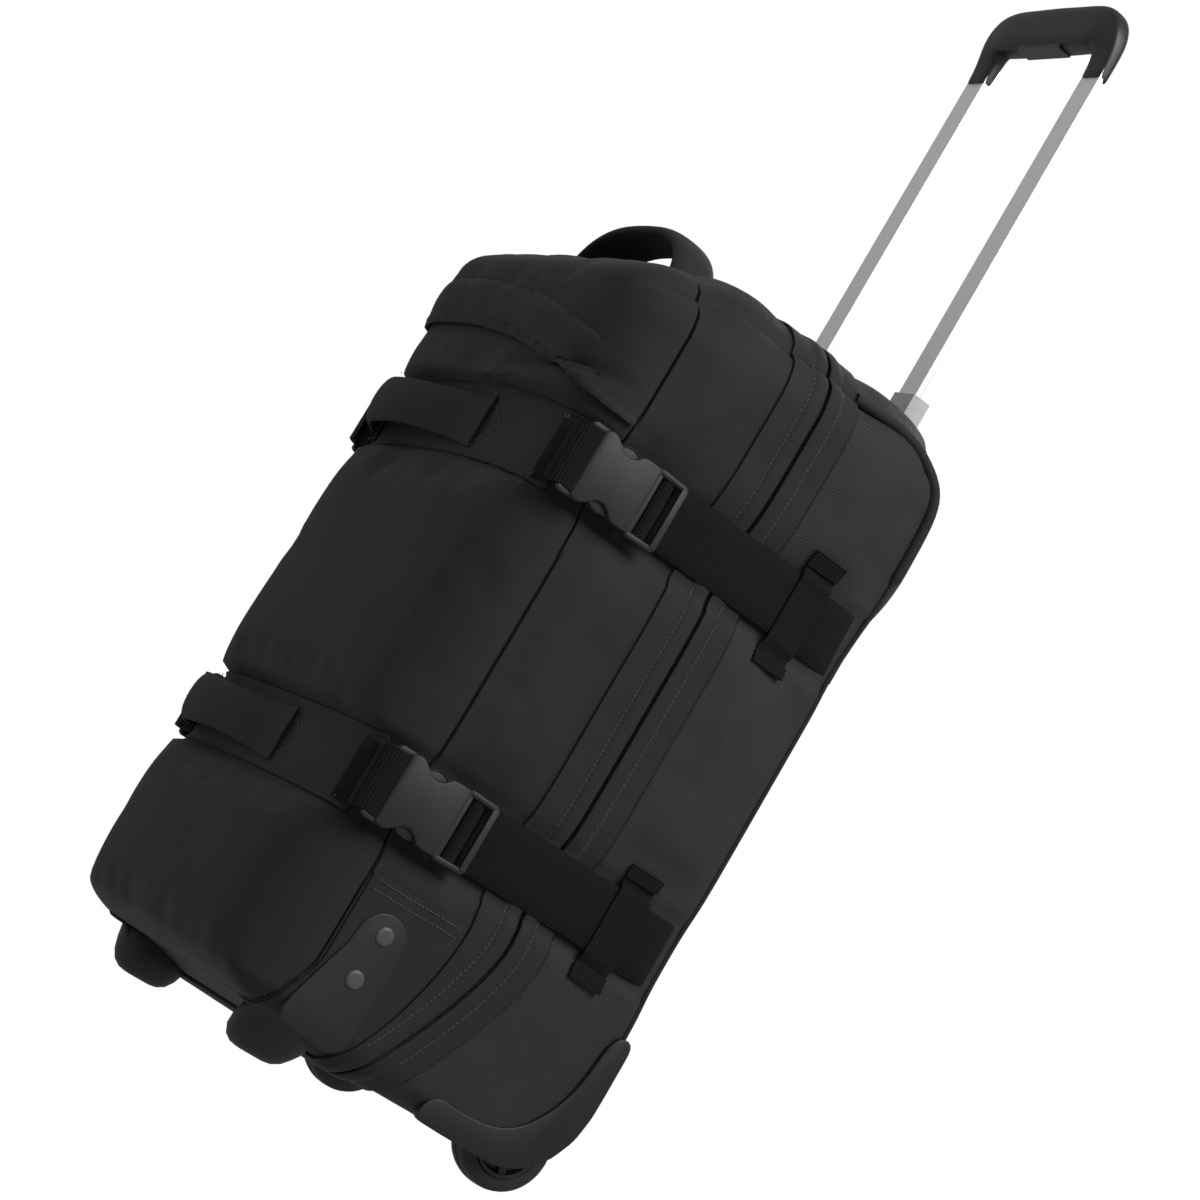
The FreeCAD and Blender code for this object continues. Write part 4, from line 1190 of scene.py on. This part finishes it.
handles = {"half": 0.0205, "rise": 0.0165, "thick": 0.0075}
for level, tier in enumerate(("upper", "lower")):
    xs = np.linspace(-0.150, 0.0300, 52)
    t = (xs + 0.150) / 0.1800
    # height off the band: steep at the sewn left end, then a long slope to the right end
    rise = handles["rise"] * (0.86 if level else 1.0) * smooth(t / 0.17) * (
        1 - smooth((t - 0.22) / 0.76)) + 0.0012
    bandY = np.array([onFront(float(x) * (0.96 if abs(x) > 0.12 else 1), float(
        beltHeight(level, x))).y for x in xs])
    bandY[1:-1] = (bandY[:-2] + bandY[1:-1] + bandY[2:]) / 3
    deep = 0.0026 + (handles["thick"] - 0.0026) * smooth(t / 0.12) * (1 - smooth((t - 0.60) / 0.38))
    half = handles["half"] + 0.0015 * smooth((t - 0.8) / 0.2) - 0.0020 * np.sin(math.pi * t) ** 2
    rings = []
    turns = np.linspace(0, math.tau, 28, endpoint=False)
    middles = np.stack((xs, bandY - 0.0022 - rise - deep / 2), axis=1)
    ways = unit(np.gradient(middles, axis=0))
    for k, x in enumerate(xs):
        z0 = beltHeight(level, x)
        nx, ny = ways[k][1], -ways[k][0]
        ring = []
        for a in turns:
            v = half[k] * blunt(math.cos(a), 0.62)
            w = deep[k] / 2 * blunt(math.sin(a), 0.75)
            # the sleeve curls back a little along its edges
            curl = -0.0032 * (v / half[k]) ** 2 * (deep[k] / handles["thick"])
            ring.append((middles[k][0] + nx * (w + curl), middles[k][1] + ny * (w + curl), z0 + v))
        rings.append(ring)
    item = newObject(loft(rings), f"carryHandle{tier.title()}")
    addModifier(item, "SUBSURF", levels=1, render_levels=1)
    dress(item, "front_shell", "smooth", replaces=[f"carry_handle_{tier}"], smoothAngle=60)

topGrab = {"half": 0.0195, "thick": 0.0098, "narrow": 0.93, "drop": 0.007}
handleLow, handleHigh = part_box("top_handle")
handleY = (handleLow.y + handleHigh.y) / 2
path = [(0.0935, -0.062), (0.0905, -0.050), (0.0870, -0.038), (0.0800, -0.026),
        (0.0680, -0.0160), (0.0520, -0.0090), (0.0300, -0.0050), (0.0, -0.0040)]
path = [(x * topGrab["narrow"], z + handleHigh.z - topGrab["drop"]) for x, z in path]
path = soften(evenly(path + [(-x, z) for x, z in path[-2::-1]], 0.0055), 3)
ways = unit(np.gradient(path, axis=0))
turns = np.linspace(0, math.tau, 28, endpoint=False)
rings = []
for k, (x, z) in enumerate(path):
    nx, nz = -ways[k][1], ways[k][0]
    if nz + nx * x * 5 < 0:
        nx, nz = -nx, -nz
    near = 1 - abs(2 * k / (len(path) - 1) - 1)
    half = topGrab["half"] + 0.0022 * (1 - smooth(near * 5))
    ring = []
    for a in turns:
        v = half * blunt(math.cos(a), 0.6)
        w = topGrab["thick"] / 2 * blunt(math.sin(a), 0.8)
        w -= 0.0022 * (v / half) ** 2
        ring.append((x + nx * w, handleY + v, z + nz * w))
    rings.append(ring)
item = newObject(loft(rings), "topHandle")
addModifier(item, "SUBSURF", levels=1, render_levels=1)
dress(item, "front_shell", "smooth", replaces=["top_handle"], smoothAngle=60)
print("handles made")

# the grip follows the tubes' own pitch and depth
gripForm = [
    # x, z, turn in degrees, half height, half depth, middle y
    (0.0810, 0.9600, 0, 0.0112, 0.0058, 0.1352), (0.0810, 0.9615, 0, 0.0119, 0.0064, 0.1352),
    (0.0810, 0.9720, 0, 0.0121, 0.0066, 0.1350), (0.0808, 0.9820, 6, 0.0126, 0.0076, 0.1342),
    (0.0795, 0.9910, 20, 0.0140, 0.0092, 0.1325), (0.0755, 0.9985, 45, 0.0160, 0.0104, 0.1310),
    (0.0680, 1.0035, 68, 0.0182, 0.0110, 0.1300), (0.0560, 1.0052, 84, 0.0194, 0.0113, 0.1298),
    (0.0400, 1.0052, 89, 0.0197, 0.0113, 0.1298), (0.0200, 1.0052, 90, 0.0199, 0.0113, 0.1298),
    (0.0, 1.0054, 90, 0.0202, 0.0113, 0.1298)]
low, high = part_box("inner_tube_right")
slot, tubeY = (low.x + high.x) / 2, (low.y + high.y) / 2
gripForm = [(x * slot / 0.081, z, a, h, d, y - 0.1355 + tubeY) for x, z, a, h, d, y in gripForm]
gripRow = np.array(gripForm + [(-x, z, 180 - a, h, d, y) for x, z, a, h, d, y in gripForm[-2::-1]])
steps = np.linspace(0, len(gripRow) - 1, 81)
gripRow = soften(np.stack([np.interp(steps, np.arange(len(gripRow)), gripRow[:, k])
                           for k in range(6)], axis=1), 4)
rings = []
turns = np.linspace(0, math.tau, 32, endpoint=False)
for x, z, angle, half, deep, y in gripRow:
    nx, nz = math.cos(math.radians(angle)), math.sin(math.radians(angle))
    rings.append([(x + nx * half * blunt(math.cos(t), 0.55), y + deep * blunt(math.sin(t), 0.62),
                   z + nz * half * blunt(math.cos(t), 0.55)) for t in turns])
item = newObject(loft(rings), "gripBody")
addModifier(item, "SUBSURF", levels=1, render_levels=1)
dress(item, "trolley", "grip", replaces=["grip"], smoothAngle=50, uv=False)


def refined(node, name, body, paint, width):
    # a cleaned copy of a CAD piece with softened edges
    bm = bmesh.new()
    bm.from_mesh(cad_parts[node].data)
    bmesh.ops.remove_doubles(bm, verts=bm.verts[:], dist=1e-5)
    bmesh.ops.dissolve_limit(bm, angle_limit=math.radians(1), verts=bm.verts[:],
                             edges=bm.edges[:])
    item = newObject(bm, name)
    addModifier(item, "BEVEL", width=width, segments=3, limit_method="ANGLE",
                angle_limit=math.radians(30), harden_normals=False)
    dress(item, body, paint, replaces=[node], smoothAngle=35, uv=False)
    return item


def spun(profile, place, axis, steps=64):
    # profile: (along the axis, radius)
    bm = bmesh.new()
    verts = [bm.verts.new((a, r, 0)) for a, r in profile]
    edges = [bm.edges.new(pair) for pair in zip(verts, verts[1:])]
    bmesh.ops.spin(bm, geom=verts + edges, cent=(0, 0, 0), axis=(1, 0, 0), dvec=(0, 0, 0),
                   angle=math.tau, steps=steps)
    bmesh.ops.remove_doubles(bm, verts=bm.verts[:], dist=1e-6)
    bmesh.ops.recalc_face_normals(bm, faces=bm.faces[:])
    columns = ((1, 0, 0), (0, 1, 0), (0, 0, 1)) if axis == "right" else (
        (-1, 0, 0), (0, -1, 0), (0, 0, 1))
    return seated(bm, columns, place)


guardLine = [(0.0242, 0.0235), (0.0262, 0.0190), (0.0497, 0.0182), (0.0900, 0.0178),
             (0.1060, 0.0195), (0.1223, 0.0268), (0.1364, 0.0408), (0.1460, 0.0600),
             (0.1495, 0.0800), (0.1498, 0.1000), (0.1498, 0.1340), (0.1490, 0.1392),
             (0.1440, 0.1412), (0.1380, 0.1400), (0.1338, 0.1350), (0.1312, 0.1258),
             (0.1290, 0.1060), (0.1258, 0.0900), (0.1205, 0.0765), (0.1135, 0.0640),
             (0.1046, 0.0530), (0.0930, 0.0448), (0.0796, 0.0402), (0.0600, 0.0388),
             (0.0471, 0.0392), (0.0380, 0.0402), (0.0310, 0.0388), (0.0262, 0.0330)]
collar = {"slimX": 0.16, "slimY": 0.26, "sink": 0.16}
guard = {"thick": 0.0090, "bevel": 0.0014}
wheel = {"tyreBore": 0.69, "spokes": 5, "bore": 0.0042}
foot = {"plate": 0.0034, "bedded": 0.0012, "slip": 0.003, "wall": 0.162, "floor": 0.035,
        "rivets": ((-0.067, 0.114), (-0.070, 0.079)), "rivetStep": 0.0036}
legForm = [
    # z, middle x, middle y, half x, half y
    (0.0000, 0.1160, -0.0850, 0.0080, 0.0110), (0.0010, 0.1160, -0.0850, 0.0120, 0.0165),
    (0.0045, 0.1165, -0.0845, 0.0165, 0.0220), (0.0110, 0.1180, -0.0835, 0.0200, 0.0262),
    (0.0200, 0.1215, -0.0815, 0.0240, 0.0288), (0.0300, 0.1270, -0.0795, 0.0280, 0.0295),
    (0.0400, 0.1330, -0.0775, 0.0300, 0.0285), (0.0500, 0.1400, -0.0755, 0.0280, 0.0255),
    (0.0600, 0.1470, -0.0740, 0.0235, 0.0212), (0.0700, 0.1540, -0.0728, 0.0178, 0.0165),
    (0.0800, 0.1610, -0.0716, 0.0110, 0.0115), (0.0880, 0.1665, -0.0706, 0.0052, 0.0070),
    (0.0940, 0.1690, -0.0700, 0.0018, 0.0030)]
plateOut = {}
for word, way in sides.items():
    label = word.title()
    outwards = ((0, 1, 0), (0, 0, 1), (way, 0, 0))
    item = refined(f"tube_collar_{word}", f"tubeCollar{label}", "tub", "collar", 0.0016)
    low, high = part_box(f"tube_collar_{word}")
    for vert in item.data.vertices:
        # slimmer round the tube and sunk a little into the cloth
        vert.co.x += ((low.x + high.x) / 2 - vert.co.x) * collar["slimX"]
        vert.co.y += ((low.y + high.y) / 2 - vert.co.y) * collar["slimY"]
        vert.co.z -= (vert.co.z - low.z) * collar["sink"]
    refined(f"wheel_housing_{word}", f"wheelHousing{label}", "tub", "moulded", 0.0015)
    low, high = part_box(f"corner_guard_{word}")
    outer = high.x if way > 0 else low.x
    line = evenly(guardLine + guardLine[:1], 0.004)[:-1]
    for _ in range(2):
        line = (np.roll(line, 1, axis=0) + line * 2 + np.roll(line, -1, axis=0)) / 4
    shield = plate(line.tolist(), 0.0, guard["thick"], bevel=guard["bevel"], segments=3)
    shield = seated(shield, outwards, (outer - way * guard["thick"], 0, 0))
    item = newObject(shield, f"cornerGuard{label}")
    dress(item, "tub", "moulded", replaces=[f"corner_guard_{word}"], smoothAngle=35, uv=False)
    low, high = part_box(f"tyre_{word}")
    centre = (low + high) / 2
    half, radius = (high.x - low.x) / 2, (high.z - low.z) / 2
    inner = radius * wheel["tyreBore"]
    profile = [(-half * .86, inner), (-half, inner + .0015), (-half, radius * .84),
               (-half * .93, radius * .92), (-half * .78, radius * .975),
               (-half * .5, radius * .995),
               (-half * .10, radius), (-half * .07, radius - .0008), (half * .07, radius - .0008),
               (half * .10, radius), (half * .5, radius * .995), (half * .78, radius * .975),
               (half * .93, radius * .92), (half, radius * .84), (half, inner + .0015),
               (half * .86, inner)]
    profile.append(profile[0])
    item = newObject(spun(profile, centre, "right"), f"wheelTyre{label}")
    dress(item, f"wheel_{word}", "rubber", replaces=[f"tyre_{word}"], smoothAngle=35, uv=False)
    low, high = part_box(f"hub_{word}")
    half = (high.x - low.x) / 2
    rim = (high.z - low.z) / 2 + 0.0003
    bore = wheel["bore"]
    profile = [(-half, bore), (-half, bore + .004), (-half * .72, bore + .005),
               (-half * .62, rim * .42), (-half * .62, rim * .82), (-half * .95, rim * .90),
               (-half * .95, rim), (half * .95, rim), (half * .95, rim * .90),
               (half * .62, rim * .82), (half * .62, rim * .42), (half * .72, bore + .005),
               (half, bore + .004), (half, bore)]
    profile.append(profile[0])
    parts = [spun(profile, centre, "right")]
    for spoke in range(wheel["spokes"]):
        turn = math.tau * spoke / wheel["spokes"]
        blade = plate([(bore + .003, -.0022), (rim * .9, -.0034), (rim * .9, .0034),
                       (bore + .003, .0022)], -half * .9, half * .9, bevel=0.0008)
        axes = ((0, math.cos(turn), math.sin(turn)), (0, -math.sin(turn), math.cos(turn)),
                (1, 0, 0))
        parts.append(seated(blade, axes, centre))
    item = newObject(joined(parts), f"wheelHub{label}")
    dress(item, f"wheel_{word}", "moulded", replaces=[f"hub_{word}"], smoothAngle=35, uv=False)

    # front foot: riveted plate on the gusset, swelling into a rounded leg
    outline = arc(-0.0675, 0.110, 0.0195, -8, 172, 16)
    outline += [(-0.0885, 0.098), (-0.0935, 0.083), (-0.0990, 0.066), (-0.1040, 0.050),
                (-0.1060, 0.040), (-0.1020, 0.031)]
    outline += [(-0.0600, 0.027), (-0.0500, 0.034), (-0.0475, 0.046), (-0.0470, 0.064),
                (-0.0470, 0.084), (-0.0476, 0.098)]
    body = plate(evenly(outline + outline[:1], 0.003)[:-1].tolist(), 0.0, foot["plate"],
                 bevel=0.0013, segments=3)
    # bedded on the fullest part of the cloth behind it
    spots, outs = cling([(0.18 * way, u, v) for u, v in outline if v > 0.060] +
                        [(0.18 * way, -0.070, v) for v in (0.075, 0.090, 0.105)])
    plateOut[word] = float(np.abs(spots[:, 0]).max()) - foot["bedded"]
    parts = [seated(body, outwards, (plateOut[word] * way, 0, 0))]
    rings = []
    for z, mx, my, hx, hy in legForm:
        # above the floor of the bag the leg stays outside the cloth
        wall = foot["wall"] if z > foot["floor"] else 0.0
        my += foot["slip"] * (1 - z / legForm[-1][0])
        rings.append([(way * max(mx + hx * blunt(math.cos(t), 0.85), wall),
                       my + hy * blunt(math.sin(t), 0.85), z)
                      for t in np.linspace(0, math.tau, 32, endpoint=False)])
    parts.append(loft(rings))
    item = newObject(joined(parts), f"foot{label}")
    dress(item, "front_shell", "moulded", replaces=[f"foot_{word}"], smoothAngle=45, uv=False)

heads = []
for word, way in sides.items():
    for y, z in foot["rivets"]:
        profile = [(-0.003, 0.0), (-0.003, 0.0068), (-0.0006, 0.0070), (0.0006, 0.0066),
                   (0.0012, 0.0058), (0.0014, 0.0040), (0.0013, 0.0)]
        heads.append(spun(profile, (way * (plateOut[word] + foot["rivetStep"]), y, z),
                          "right" if way > 0 else "left", 32))
item = newObject(joined(heads), "footRivets")
dress(item, "front_shell", "rivet", replaces=["foot_rivets"], smoothAngle=35, uv=False)
print("running gear made")

for body, bm in threads.items():
    item = newObject(bm, f"stitches{body.title().replace('_', '')}")
    dress(item, body, "thread", uv=False, smoothAngle=30)

carried = {"aluminium": ["inner_tube_left", "inner_tube_right", "outer_tube_left",
                         "outer_tube_right"],
           "grip": ["release_trigger"],
           "steel": ["axles", "pull_rods", "lock_pin_left", "lock_pin_right", "tube_bracket"],
           "zip": ["zip_slider_left", "zip_slider_right"]}
for paint, names in carried.items():
    for name in names:
        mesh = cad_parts[name].data
        mesh.materials.clear()
        mesh.materials.append(paints[paint])

makeStudio()
